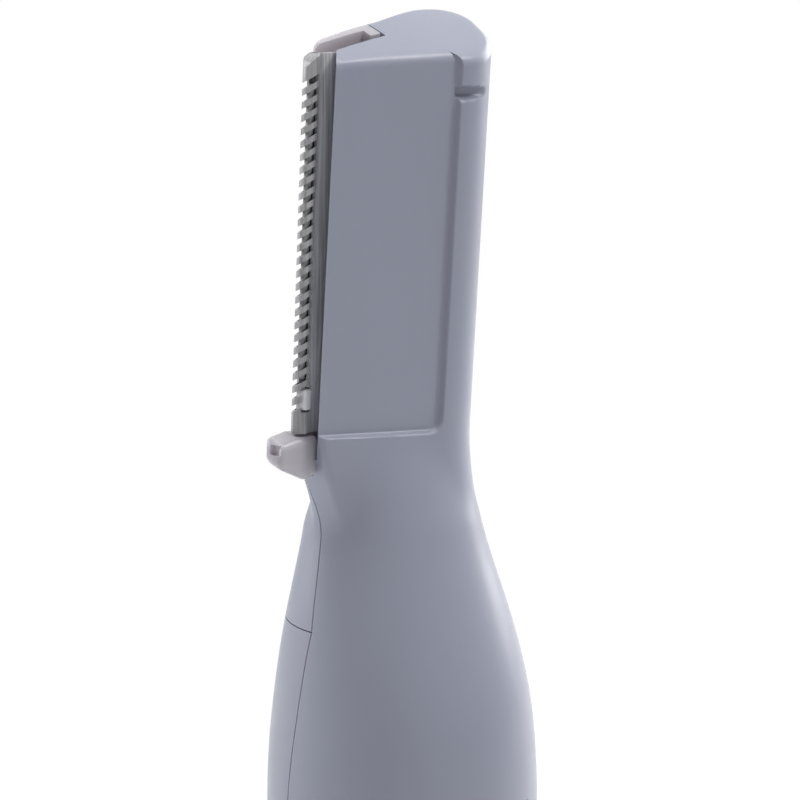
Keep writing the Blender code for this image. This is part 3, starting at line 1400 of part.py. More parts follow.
def build_screw(name, side):
    """Pan-head screw with a straight driver slot, in from the back."""
    x = side * SCREW_X
    screw = round_hole(name, SCREW_SHANK, x, SCREW_Z, SCREW_TIP_Y, SCREW_SEAT_Y + SCREW_HEAD_THICK)
    start = SCREW_SEAT_Y + SHEET_GAP
    join(screw, round_hole("screw_head", SCREW_HEAD, x, SCREW_Z, start, SCREW_SEAT_Y + SCREW_HEAD_THICK))
    half = DRIVER_SLOT / 2
    slot_low = (x - 2 * SCREW_HEAD, SCREW_SEAT_Y + SCREW_HEAD_THICK / 2, SCREW_Z - half)
    cut(screw, box("driver_slot", slot_low, (x + 2 * SCREW_HEAD, 2 * GRIP_RADIUS, SCREW_Z + half)))
    return finish(screw, STEEL, 0.3, 1.0)


def main():
    clear_scene()
    make_collection(PARTS)
    make_collection(CUTTERS)
    build_front_shell()
    build_rear_shell()
    build_neck_cover()
    build_blade_frame()
    build_fixed_comb()
    build_comb_latch()
    build_moving_blade()
    build_blade_spring()
    build_drive_rod()
    build_drive_lever()
    build_lever_pin()
    build_cam()
    build_motor_shaft()
    build_armature()
    build_magnet_ring()
    build_motor_can()
    build_motor_end_cap()
    build_chassis()
    build_cell()
    build_positive_contact()
    build_negative_strip()
    build_motor_strip()
    build_switch_button()
    build_switch_bridge()
    build_cap()
    build_seal()
    build_cap_contact()
    build_coil()
    build_screw("screw_left", -1)
    build_screw("screw_right", 1)


main()
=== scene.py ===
"""Looks of a facial hair trimmer: shells, comb blade, thumb tab, power slide, cap, motor and cell.

Lengths are in metres and angles in degrees. Z is up, -Y is the front, and -X is the blade's side.
"""

import logging
import math
from dataclasses import dataclass, field
from enum import Enum
from functools import cached_property
from typing import Iterable, Protocol, Sequence

import bmesh
import bpy
from bmesh.types import BMesh, BMVert, BMEdge
from mathutils import Matrix, Vector


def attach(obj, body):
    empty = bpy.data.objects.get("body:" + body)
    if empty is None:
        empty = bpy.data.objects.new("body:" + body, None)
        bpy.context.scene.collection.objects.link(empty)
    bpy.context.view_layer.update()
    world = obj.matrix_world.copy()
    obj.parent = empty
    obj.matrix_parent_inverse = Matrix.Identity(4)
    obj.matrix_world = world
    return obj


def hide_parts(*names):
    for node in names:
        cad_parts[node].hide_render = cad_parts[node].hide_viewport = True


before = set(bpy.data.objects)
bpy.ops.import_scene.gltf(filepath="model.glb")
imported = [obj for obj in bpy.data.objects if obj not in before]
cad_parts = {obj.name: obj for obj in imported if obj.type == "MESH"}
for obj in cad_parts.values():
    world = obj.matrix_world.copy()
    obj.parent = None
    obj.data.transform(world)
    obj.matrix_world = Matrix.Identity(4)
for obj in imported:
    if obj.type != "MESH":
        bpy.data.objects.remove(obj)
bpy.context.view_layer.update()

log = logging.getLogger("trimmer")

Flat = tuple[float, float]
Triple = tuple[float, float, float]
Colour = tuple[float, float, float]
Socket = bpy.types.NodeSocket

EVEN: Triple = (1.0, 1.0, 1.0)
STRAIGHT: Triple = (0.0, 0.0, 0.0)
WHITE: Colour = (1.0, 1.0, 1.0)
WHOLE: Flat = (0.0, 1.0)


class Cut(Enum):
    """What a tool shape does to a piece."""

    TAKE = "DIFFERENCE"
    KEEP = "INTERSECT"
    ADD = "UNION"


class Sum(Enum):
    """How two numbers of a pattern become one."""

    PLUS = "ADD"
    TIMES = "MULTIPLY"
    LARGER = "MAXIMUM"


class Blend(Enum):
    """How two colours of a pattern become one."""

    BETWEEN = "MIX"
    TIMES = "MULTIPLY"


# --------------------------------------------------------------------------------------
# Shapes
# --------------------------------------------------------------------------------------


def heading(angle: float) -> Vector:
    """Unit vector of the plane at an angle in degrees."""
    return Vector((math.cos(math.radians(angle)), math.sin(math.radians(angle))))


def ease(value: float) -> float:
    """Smooth step from 0 to 1."""
    value = min(1.0, max(0.0, value))
    return value * value * (3.0 - 2.0 * value)


def axes(along: Sequence[float], across: Sequence[float], up: Sequence[float]) -> Matrix:
    """Frame at the origin whose X, Y and Z axes are three vectors."""
    return Matrix((along, across, up)).transposed().to_4x4()


def arc(centre: Flat, radius: float, start: float, end: float, steps: int) -> list[Flat]:
    """Points along an arc.

    Args:
        centre: Middle of the arc.
        radius: Its radius.
        start: First angle in degrees.
        end: Last angle in degrees.
        steps: Number of equal steps.

    Returns:
        The points, both ends included.
    """
    points = []
    for index in range(steps + 1):
        direction = heading(start + (end - start) * index / steps)
        points.append((centre[0] + radius * direction.x, centre[1] + radius * direction.y))
    return points


def between(start: Flat, end: Flat, steps: int) -> list[Flat]:
    """Points inside a straight line.

    Args:
        start: First end of the line.
        end: Last end of the line.
        steps: Number of equal steps.

    Returns:
        The points in order, both ends left out.
    """
    return [tuple(Vector(start).lerp(Vector(end), index / steps)) for index in range(1, steps)]


def prism(outline: Sequence[Flat], low: float, high: float, place: Matrix = Matrix(),
          split: bool = True) -> BMesh:
    """A flat outline extruded along the place's Z axis.

    Args:
        outline: Corners of the outline, in order.
        low: Where the prism starts.
        high: Where it ends.
        place: Frame that the outline is drawn in.
        split: Whether its ends are split into triangles.

    Returns:
        The closed prism.
    """
    shape = bmesh.new()
    face = shape.faces.new([shape.verts.new((x, y, low)) for x, y in outline])
    made = bmesh.ops.extrude_face_region(shape, geom=[face])["geom"]
    moved = [item for item in made if isinstance(item, BMVert)]
    bmesh.ops.translate(shape, vec=(0.0, 0.0, high - low), verts=moved)
    if split:
        ends = [item for item in shape.faces if len(item.verts) > 4]
        bmesh.ops.triangulate(shape, faces=ends)
    bmesh.ops.recalc_face_normals(shape, faces=shape.faces)
    shape.transform(place)
    return shape


def block(low: Sequence[float], high: Sequence[float], place: Matrix = Matrix()) -> BMesh:
    """A box between two corners of a frame.

    Args:
        low: Lowest corner.
        high: Highest corner.
        place: Frame of the corners.

    Returns:
        The box.
    """
    shape = bmesh.new()
    size = Vector(high) - Vector(low)
    bmesh.ops.create_cube(shape, size=1.0)
    bmesh.ops.scale(shape, vec=size, verts=shape.verts)
    bmesh.ops.translate(shape, vec=Vector(low) + size / 2, verts=shape.verts)
    shape.transform(place)
    return shape


def round_block(low: Sequence[float], high: Sequence[float], edge: float,
                place: Matrix = Matrix(), steps: int = 4) -> BMesh:
    """A box whose edges are all rounded.

    Args:
        low: Lowest corner.
        high: Highest corner.
        edge: Radius of the edges.
        place: Frame of the corners.
        steps: Steps of each rounding.

    Returns:
        The rounded box.
    """
    shape = soften(block(low, high), edge, steps)
    shape.transform(place)
    return shape


def soften(shape: BMesh, width: float, steps: int, angle: float = 30.0) -> BMesh:
    """Round the edges of a shape that are sharper than an angle.

    Args:
        shape: Shape to change.
        width: Width of the rounding.
        steps: Steps of the rounding.
        angle: Smallest angle between faces that counts as an edge.

    Returns:
        The same shape.
    """
    limit = math.radians(angle)
    edges = [edge for edge in shape.edges
             if edge.is_manifold and edge.calc_face_angle(0.0) > limit]
    bmesh.ops.bevel(shape, geom=edges, offset=width, offset_type="OFFSET", segments=steps,
                    profile=0.5, affect="EDGES", clamp_overlap=True, material=-1)
    return shape


def lathe(profile: Sequence[Flat], steps: int, closed: bool = False,
          place: Matrix = Matrix()) -> BMesh:
    """A profile spun a full turn about the place's Z axis.

    Args:
        profile: Radius and height of each point.
        steps: Steps of the turn.
        closed: Whether the last point joins the first.
        place: Frame of the axis.

    Returns:
        The turned shape.
    """
    shape = bmesh.new()
    points = [shape.verts.new((radius, 0.0, height)) for radius, height in profile]
    pairs = list(zip(points, points[1:]))
    if closed:
        pairs.append((points[-1], points[0]))
    edges = [shape.edges.new(pair) for pair in pairs]
    bmesh.ops.spin(shape, geom=points + edges, cent=(0, 0, 0), axis=(0, 0, 1), angle=math.tau,
                   steps=steps, use_merge=True, use_duplicate=False)
    bmesh.ops.remove_doubles(shape, verts=shape.verts, dist=1e-7)
    bmesh.ops.recalc_face_normals(shape, faces=shape.faces)
    shape.transform(place)
    return shape


def bore(radius: float, low: float, high: float, steps: int, place: Matrix) -> BMesh:
    """Space of a round bore along the place's Z axis.

    Args:
        radius: Radius of the bore.
        low: Where it starts.
        high: Where it ends.
        steps: Steps of the turn.
        place: Frame of the axis.

    Returns:
        The space.
    """
    profile = [(0.0, high), (radius, high), (radius, low), (0.0, low)]
    return lathe(profile, steps, place=place)


def merged(shapes: Iterable[BMesh]) -> BMesh:
    """Several shapes in one mesh.

    Args:
        shapes: Shapes to gather; each is freed.

    Returns:
        One shape that holds them all.
    """
    whole = bmesh.new()
    for shape in shapes:
        mesh = bpy.data.meshes.new("part")
        shape.to_mesh(mesh)
        shape.free()
        whole.from_mesh(mesh)
        bpy.data.meshes.remove(mesh)
    return whole


def carved(shape: BMesh, *tools: tuple[BMesh, Cut]) -> BMesh:
    """A shape after exact cuts, in order.

    Args:
        shape: Shape to cut; it is freed.
        tools: Tool shapes with what each does; they are freed.

    Returns:
        The cut shape.
    """
    piece = holder("carved", shape)
    for tool, kind in tools:
        other = holder("tool", tool)
        step = piece.modifiers.new("cut", "BOOLEAN")
        step.operation = kind.value
        step.solver = "EXACT"
        step.object = other
        bpy.context.view_layer.update()
        evaluated = piece.evaluated_get(bpy.context.evaluated_depsgraph_get())
        mesh = bpy.data.meshes.new_from_object(evaluated)
        piece.modifiers.clear()
        piece.data = mesh
        bpy.data.objects.remove(other, do_unlink=True)
    result = bmesh.new()
    result.from_mesh(piece.data)
    bpy.data.objects.remove(piece, do_unlink=True)
    return result


def holder(name: str, shape: BMesh) -> bpy.types.Object:
    """A linked object that holds a shape, which is freed.

    Args:
        name: Name of the object and its mesh.
        shape: Shape to hold.

    Returns:
        The object, at the origin.
    """
    mesh = bpy.data.meshes.new(name)
    shape.to_mesh(mesh)
    shape.free()
    piece = bpy.data.objects.new(name, mesh)
    bpy.context.scene.collection.objects.link(piece)
    return piece


def grown(rings: Sequence[Sequence[Vector]]) -> BMesh:
    """A closed skin grown by extruding a ring of edges from section to section.

    Args:
        rings: Sections with equal numbers of points, from the bottom up.

    Returns:
        The skin, closed at both ends.
    """
    shape = bmesh.new()
    column = shape.verts.layers.int.new("column")
    bmesh.ops.create_circle(shape, cap_ends=True, segments=len(rings[0]), radius=1.0)
    shape.verts.ensure_lookup_table()
    start = sorted(shape.verts, key=lambda point: math.atan2(point.co.y, point.co.x))
    for index, point in enumerate(start):
        point[column] = index
        point.co = rings[0][index]
    rim = list(shape.edges)
    for ring in rings[1:]:
        made = bmesh.ops.extrude_edge_only(shape, edges=rim)["geom"]
        for item in made:
            if isinstance(item, BMVert):
                item.co = ring[item[column]]
        rim = [item for item in made if isinstance(item, BMEdge)]
    bmesh.ops.contextual_create(shape, geom=rim)
    bmesh.ops.recalc_face_normals(shape, faces=shape.faces)
    return shape


# --------------------------------------------------------------------------------------
# Finishes
# --------------------------------------------------------------------------------------


class NodeSheet:
    """The shader nodes of a material or a world, added and joined by name."""

    def __init__(self, owner: bpy.types.Material | bpy.types.World,
                 shader: str = "Principled BSDF") -> None:
        """Start with the shader that the owner brings along.

        Args:
            owner: Material or world.
            shader: Name of its shader node.
        """
        owner.use_nodes = True
        self.owner = owner
        self.tree = owner.node_tree
        self.shader = self.tree.nodes[shader]

    @cached_property
    def place(self) -> Socket:
        """Object coordinates."""
        return self.add("ShaderNodeTexCoord").outputs["Object"]

    def add(self, kind: str, **inputs: object) -> bpy.types.Node:
        """Add a node and set or join its inputs.

        Args:
            kind: Type of the node.
            inputs: Values or sockets by input name, with spaces written as underscores.

        Returns:
            The node.
        """
        node = self.tree.nodes.new(kind)
        for key, value in inputs.items():
            self.put(node.inputs[key.replace("_", " ")], value)
        return node

    def put(self, socket: Socket, value: object) -> None:
        """Set a socket to a value, or join it to another socket.

        Args:
            socket: Input to set.
            value: Value, or the output that it is joined to.
        """
        if isinstance(value, Socket):
            self.tree.links.new(value, socket)
        else:
            socket.default_value = value

    def noise(self, scale: float, detail: float = 3.0, stretch: Triple = EVEN,
              turn: Triple = STRAIGHT) -> Socket:
        """A noise pattern on object coordinates.

        Args:
            scale: Patches per metre.
            detail: Octaves.
            stretch: Scale along each axis.
            turn: Turn of the pattern in degrees.

        Returns:
            The pattern, about 0.5 in the middle.
        """
        mapping = self.add("ShaderNodeMapping", Vector=self.place, Scale=stretch,
                           Rotation=[math.radians(angle) for angle in turn])
        node = self.add("ShaderNodeTexNoise", Vector=mapping.outputs[0], Scale=scale,
                        Detail=detail)
        return node.outputs["Fac"]

    def ranged(self, value: Socket, low: float, high: float,
               source: Flat = (0.3, 0.7)) -> Socket:
        """A pattern moved to another range.

        Args:
            value: Pattern to move.
            low: Result at the low end.
            high: Result at the high end.
            source: The pattern's own low and high ends.

        Returns:
            The new pattern.
        """
        node = self.add("ShaderNodeMapRange", Value=value, From_Min=source[0],
                        From_Max=source[1], To_Min=low, To_Max=high)
        return node.outputs["Result"]

    def reckoned(self, kind: Sum, first: Socket, second: Socket) -> Socket:
        """One number made of two.

        Args:
            kind: How the two become one.
            first: First number.
            second: Second number.

        Returns:
            The new number.
        """
        node = self.add("ShaderNodeMath")
        node.operation = kind.value
        self.put(node.inputs[0], first)
        self.put(node.inputs[1], second)
        return node.outputs[0]

    def blended(self, share: Socket | float, first: Socket | Colour, second: Socket | Colour,
                kind: Blend = Blend.BETWEEN) -> Socket:
        """One colour made of two.

        Args:
            share: How much the second colour counts, from 0 to 1.
            first: First colour.
            second: Second colour.
            kind: How the two become one.

        Returns:
            The new colour.
        """
        node = self.add("ShaderNodeMix")
        node.data_type = "RGBA"
        node.blend_type = kind.value
        for index, value in ((0, share), (6, first), (7, second)):
            whole = (*value, 1.0) if isinstance(value, tuple) else value
            self.put(node.inputs[index], whole)
        return node.outputs[2]

    def across(self, lean: float) -> Socket:
        """Distance to the right of an axis that leans to the right.

        Args:
            lean: Lean of the axis in degrees.

        Returns:
            The distance, square to the axis.
        """
        mapping = self.add("ShaderNodeMapping", Vector=self.place,
                           Rotation=(0.0, -math.radians(lean), 0.0))
        return self.add("ShaderNodeSeparateXYZ", Vector=mapping.outputs[0]).outputs["X"]

    def relief(self, height: Socket, depth: float, strength: float = 1.0,
               under: Socket | None = None) -> Socket:
        """A bumped normal.

        Args:
            height: Pattern of heights from 0 to 1.
            depth: Height of the relief in metres.
            strength: Share of it that shows.
            under: Normal that the relief is added to.

        Returns:
            The normal.
        """
        node = self.add("ShaderNodeBump", Height=height, Distance=depth, Strength=strength)
        if under is not None:
            self.put(node.inputs["Normal"], under)
        return node.outputs["Normal"]

    def done(self, **inputs: object) -> bpy.types.Material | bpy.types.World:
        """Set or join the shader's inputs.

        Args:
            inputs: Values or sockets by input name, with spaces written as underscores.

        Returns:
            The finished material or world.
        """
        for key, value in inputs.items():
            self.put(self.shader.inputs[key.replace("_", " ")], value)
        return self.owner


class Finish(Protocol):
    """What every finish has."""

    name: str

    def material(self) -> bpy.types.Material:
        """Build the material."""


def shade(colour: Colour, factor: float) -> Colour:
    """A colour made darker or lighter by a factor."""
    return tuple(min(1.0, channel * factor) for channel in colour)


@dataclass(frozen=True)
class MouldedPlastic:
    """Satin moulded plastic with a fine grain, faint flow clouds and hairline scuffs."""

    name: str
    colour: Colour
    roughness: float = 0.38
    grain: float = 0.000006
    clouds: float = 0.035
    scuffs: float = 0.05
    depth: float = 0.0
    depth_radius: float = 0.0014
    depth_tint: Triple = (1.0, 0.86, 0.86)
    grain_scale: float = 5200.0
    cloud_scale: float = 90.0
    cloud_stretch: Triple = (1.0, 1.0, 0.35)
    scuff_scale: float = 900.0
    scuff_stretch: Triple = (1.0, 1.0, 0.06)
    scuff_turn: Triple = (14.0, 9.0, 0.0)
    scuff_source: Flat = (0.6, 0.8)
    patch_scale: float = 260.0
    patch_spread: Flat = (-0.03, 0.04)

    def material(self) -> bpy.types.Material:
        """Build the material.

        Returns:
            The material.
        """
        sheet = NodeSheet(bpy.data.materials.new(self.name))
        cloud = sheet.ranged(sheet.noise(self.cloud_scale, 4.0, self.cloud_stretch), 0.0, 1.0)
        colour = sheet.blended(cloud, shade(self.colour, 1.0 - self.clouds),
                               shade(self.colour, 1.0 + self.clouds))
        scuff = sheet.noise(self.scuff_scale, 2.0, self.scuff_stretch, self.scuff_turn)
        scuff = sheet.ranged(scuff, 0.0, self.scuffs, self.scuff_source)
        smooth, dull = self.patch_spread
        patch = sheet.noise(self.patch_scale)
        patch = sheet.ranged(patch, self.roughness + smooth, self.roughness + dull)
        normal = sheet.relief(sheet.noise(self.grain_scale, 2.0), self.grain, 0.5)
        normal = sheet.relief(scuff, self.grain, 0.25, normal)
        return sheet.done(Base_Color=colour, Roughness=sheet.reckoned(Sum.PLUS, patch, scuff),
                          Normal=normal, IOR=1.49, Subsurface_Weight=self.depth,
                          Subsurface_Radius=self.depth_tint,
                          Subsurface_Scale=self.depth_radius)


@dataclass(frozen=True)
class BrushedMetal:
    """Sheet or bar metal with a brushed or rolled lay, faint stains and small nicks."""

    name: str
    colour: Colour
    roughness: float = 0.3
    lay: Triple = (1.0, 1.0, 0.02)
    turn: Triple = (0.0, 3.5, 0.0)
    streaks: float = 0.22
    groove: float = 0.000004
    metallic: float = 1.0
    lay_scale: float = 5200.0
    stain: Colour = (0.78, 0.78, 0.80)
    stain_scale: float = 420.0
    stain_share: float = 0.5
    lay_spread: Flat = (-0.08, 0.12)
    # Painted shade: where a nose band is given, the colour left of it is darkened to the nose
    # tint.
    nose: Flat | None = None
    painted_nose_shade: Colour = (0.50, 0.50, 0.51)

    def material(self) -> bpy.types.Material:
        """Build the material, with painted shade that darkens the left of the nose where there is
        one.

        Returns:
            The material.
        """
        sheet = NodeSheet(bpy.data.materials.new(self.name))
        lay = sheet.noise(self.lay_scale, 3.0, self.lay, self.turn)
        stain = sheet.ranged(sheet.noise(self.stain_scale), 0.0, 1.0)
        colour = sheet.blended(sheet.ranged(lay, 0.0, 1.0),
                               shade(self.colour, 1.0 - self.streaks),
                               shade(self.colour, 1.0 + self.streaks))
        stained = sheet.blended(stain, self.stain, WHITE)
        colour = sheet.blended(self.stain_share, colour, stained, Blend.TIMES)
        # Painted shade: the colour left of the nose band is darkened to the nose tint.
        if self.nose is not None:
            side = sheet.ranged(sheet.across(self.turn[1]), 0.0, 1.0, self.nose)
            painted_shade_tint = sheet.blended(side, self.painted_nose_shade, WHITE)
            colour = sheet.blended(1.0, colour, painted_shade_tint, Blend.TIMES)
        smooth, dull = self.lay_spread
        rough = sheet.ranged(lay, self.roughness + smooth, self.roughness + dull)
        return sheet.done(Base_Color=colour, Roughness=rough, Metallic=self.metallic,
                          Normal=sheet.relief(lay, self.groove, 0.6))


@dataclass(frozen=True)
class WoundCoil:
    """Enamelled copper wire, laid close in turns, with painted shade between turns and painted
    highlights on their crests.
    """

    name: str
    colour: Colour
    pitch: float = 0.00018
    wander: float = 0.6
    gap_painted_shade: float = 0.45
    crest_painted_highlight: float = 1.15
    roughness: Flat = (0.25, 0.4)
    patch_scale: float = 900.0

    def material(self) -> bpy.types.Material:
        """Build the material.

        Returns:
            The material.
        """
        sheet = NodeSheet(bpy.data.materials.new(self.name))
        wave = sheet.add("ShaderNodeTexWave", Vector=sheet.place, Detail=1.0,
                         Scale=1.0 / (self.pitch * math.tau) * 2.0, Distortion=self.wander)
        wave.bands_direction = "Z"
        turns = wave.outputs["Fac"]
        # Painted shade in the gaps between turns and painted highlight on their crests.
        colour = sheet.blended(turns, shade(self.colour, self.gap_painted_shade),
                               shade(self.colour, self.crest_painted_highlight))
        return sheet.done(Base_Color=colour, Metallic=0.75,
                          Roughness=sheet.ranged(sheet.noise(self.patch_scale),
                                                 *self.roughness),
                          Normal=sheet.relief(turns, self.pitch / 3, 0.7))


@dataclass(frozen=True)
class Elastomer:
    """Matt black rubber with a dusty bloom."""

    name: str
    colour: Colour
    roughness: Flat = (0.55, 0.8)
    bloom_scale: float = 700.0
    bloom_shade: float = 2.2
    grain_scale: float = 4000.0
    grain: float = 0.00001

    def material(self) -> bpy.types.Material:
        """Build the material.

        Returns:
            The material.
        """
        sheet = NodeSheet(bpy.data.materials.new(self.name))
        bloom = sheet.ranged(sheet.noise(self.bloom_scale, 4.0), 0.0, 1.0)
        colour = sheet.blended(bloom, self.colour, shade(self.colour, self.bloom_shade))
        return sheet.done(Base_Color=colour,
                          Roughness=sheet.ranged(bloom, *self.roughness, WHOLE),
                          Normal=sheet.relief(sheet.noise(self.grain_scale), self.grain, 0.5))


@dataclass(frozen=True)
class CellWrap:
    """Shrunk film round a dry cell, with a metallic band at its positive end."""

    name: str
    colour: Colour
    band: Colour
    band_start: float
    wobble: float = 0.0001
    wobble_scale: float = 300.0
    blur: float = 0.00005
    roughness: Flat = (0.22, 0.34)
    patch_scale: float = 500.0
    crease: float = 0.00002
    crease_scale: float = 260.0
    crease_stretch: Triple = (1.0, 1.0, 0.2)

    def material(self) -> bpy.types.Material:
        """Build the material.

        Returns:
            The material.
        """
        sheet = NodeSheet(bpy.data.materials.new(self.name))
        height = sheet.add("ShaderNodeSeparateXYZ", Vector=sheet.place).outputs["Z"]
        wobble = sheet.ranged(sheet.noise(self.wobble_scale), -self.wobble, self.wobble)
        edge = sheet.ranged(sheet.reckoned(Sum.PLUS, height, wobble), 0.0, 1.0,
                            (self.band_start - self.blur, self.band_start + self.blur))
        creases = sheet.noise(self.crease_scale, 2.0, self.crease_stretch)
        return sheet.done(Base_Color=sheet.blended(edge, self.colour, self.band),
                          Roughness=sheet.ranged(sheet.noise(self.patch_scale),
                                                 *self.roughness),
                          Metallic=0.35, Normal=sheet.relief(creases, self.crease, 0.4))


BODY_COLOUR: Colour = (0.266, 0.281, 0.349)
SHELL_PLASTIC = MouldedPlastic("shell_plastic", BODY_COLOUR, 0.36, depth=0.10)
COVER_PLASTIC = MouldedPlastic("cover_plastic", shade(BODY_COLOUR, 1.03), 0.35, depth=0.10)
CAP_PLASTIC = MouldedPlastic("cap_plastic", shade(BODY_COLOUR, 0.99), 0.37, depth=0.10)
MILKY_PLASTIC = MouldedPlastic("milky_plastic", (0.385, 0.375, 0.41), 0.34, grain=0.000004,
                               clouds=0.03, scuffs=0.04, depth=0.45, depth_radius=0.0024)
PALE_PLASTIC = MouldedPlastic("pale_plastic", (0.66, 0.66, 0.70), 0.36, grain=0.000003,
                              clouds=0.03, scuffs=0.04, depth=0.2)
DARK_PLASTIC = MouldedPlastic("dark_plastic", (0.045, 0.046, 0.052), 0.45, grain=0.000010,
                              clouds=0.10, scuffs=0.06)
CHASSIS_PLASTIC = MouldedPlastic("chassis_plastic", (0.055, 0.055, 0.060), 0.52,
                                 grain=0.000014, clouds=0.12)
# Comb steel: its pale base is partly the steel's own grey and partly painted light that lifts the
# flange; its nose gets painted shade.
COMB_STEEL_PAINTED_LIGHT = BrushedMetal("comb_steel_painted_light", (0.68, 0.68, 0.685), 0.36, streaks=0.34,
                          metallic=0.15, nose=(-0.01580, -0.01535))
# Cutter steel painted dark: painted shade for the gaps between the comb's teeth, where the cutter
# shows.
BLADE_STEEL_PAINTED_SHADE = BrushedMetal("blade_steel_painted_shade", (0.23, 0.23, 0.235), streaks=0.20, metallic=0.6)
ROLLED_STEEL = BrushedMetal("rolled_steel", (0.45, 0.45, 0.46))
DRAWN_STEEL = BrushedMetal("drawn_steel", (0.48, 0.48, 0.49), 0.34, (0.6, 0.6, 0.05),
                           STRAIGHT, streaks=0.12)
GROUND_STEEL = BrushedMetal("ground_steel", (0.52, 0.52, 0.53), 0.18, (0.05, 0.05, 1.0),
                            STRAIGHT, streaks=0.08)
ZINC_STEEL = BrushedMetal("zinc_steel", (0.50, 0.51, 0.54), 0.34, EVEN, STRAIGHT, streaks=0.18)
CONTACT_BRASS = BrushedMetal("contact_brass", (0.62, 0.47, 0.22), 0.26, (1.0, 1.0, 0.05),
                             STRAIGHT, streaks=0.10)
MAGNET = BrushedMetal("magnet", (0.075, 0.075, 0.08), 0.55, EVEN, STRAIGHT, streaks=0.35,
                      groove=0.00002, metallic=0.4)
# Copper wire with painted shade between its turns and painted highlights on their crests.
COPPER_WIRE_PAINTED_LIGHT = WoundCoil("copper_wire_painted_light", (0.48, 0.20, 0.09))
SEAL_RUBBER = Elastomer("seal_rubber", (0.022, 0.022, 0.024))
CELL_FILM = CellWrap("cell_film", (0.075, 0.10, 0.16), (0.55, 0.42, 0.22), 0.0455)


def dressed(name: str, shape: BMesh, finish: Finish, body: str, *nodes: str,
            sharp: float = 38.0) -> bpy.types.Object:
    """Make a finished piece that rides on a body and stands for nodes.

    Args:
        name: Name of the piece.
        shape: Its shape in the shared frame; it is freed.
        finish: Finish whose material it gets.
        body: Body that carries it.
        nodes: Nodes that it replaces.
        sharp: Angle above which an edge stays sharp.

    Returns:
        The piece.
    """
    piece = holder(name, shape)
    piece.data.materials.append(finish.material())
    piece.data.shade_smooth()
    piece.data.set_sharp_from_angle(angle=math.radians(sharp))
    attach(piece, body)
    if nodes:
        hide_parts(*nodes)
    log.info("%s: %d faces", name, len(piece.data.polygons))
    return piece


def repaint(node: str, finish: Finish) -> None:
    """Give a CAD node a finish in its own material slots.

    Args:
        node: Name of the node.
        finish: Finish whose material it gets.
    """
    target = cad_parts[node]
    material = finish.material()
    if not target.material_slots:
        target.data.materials.append(material)
    for slot in target.material_slots:
        slot.material = material
    log.info("%s: %s", node, finish.name)


# --------------------------------------------------------------------------------------
# Outer form
# --------------------------------------------------------------------------------------


@dataclass(frozen=True)
class Frames:
    """Frames of the head, the blade unit and the power slide."""

    base: float = 0.112
    lean: float = 3.5
    slab_angle: float = 15.0
    slab_u: float = -0.0076
    slab_v: float = -0.00185
    slab_tilt: float = -1.1
    switch_angle: float = 36.0

    def head(self) -> Matrix:
        """Frame of the head, leaning to the right: u to the right, v to the back, w up."""
        lean = Matrix.Rotation(math.radians(self.lean), 4, "Y")
        return Matrix.Translation((0.0, 0.0, self.base)) @ lean

    def slab(self, tilted: bool = True) -> Matrix:
        """Frame of the blade unit: X outward (s), Y to the back (t), Z down.

        Args:
            tilted: Whether the unit's own tilt counts.

        Returns:
            The frame.
        """
        side = heading(self.slab_angle)
        turn = axes((-side.x, -side.y, 0.0), (-side.y, side.x, 0.0), (0.0, 0.0, -1.0))
        tilt = Matrix.Rotation(math.radians(self.slab_tilt if tilted else 0.0), 4, "Y")
        return self.head() @ Matrix.Translation((self.slab_u, self.slab_v, 0.0)) @ turn @ tilt

    def sheet(self) -> Matrix:
        """Frame with X outward (s), Y up (w) and Z to the back (t)."""
        return self.slab() @ axes((1, 0, 0), (0, 0, -1), (0, 1, 0))

    def side(self) -> Matrix:
        """Frame of the side view: X to the back, Y up, Z to the right."""
        return axes((0, 1, 0), (0, 0, 1), (1, 0, 0))

    def switch(self) -> Matrix:
        """Frame of the power slide: X outward, Y round the handle, Z up.

        Returns:
            The frame.
        """
        turn = math.radians(self.switch_angle)
        return axes((math.sin(turn), -math.cos(turn), 0.0),
                    (math.cos(turn), math.sin(turn), 0.0), (0.0, 0.0, 1.0))


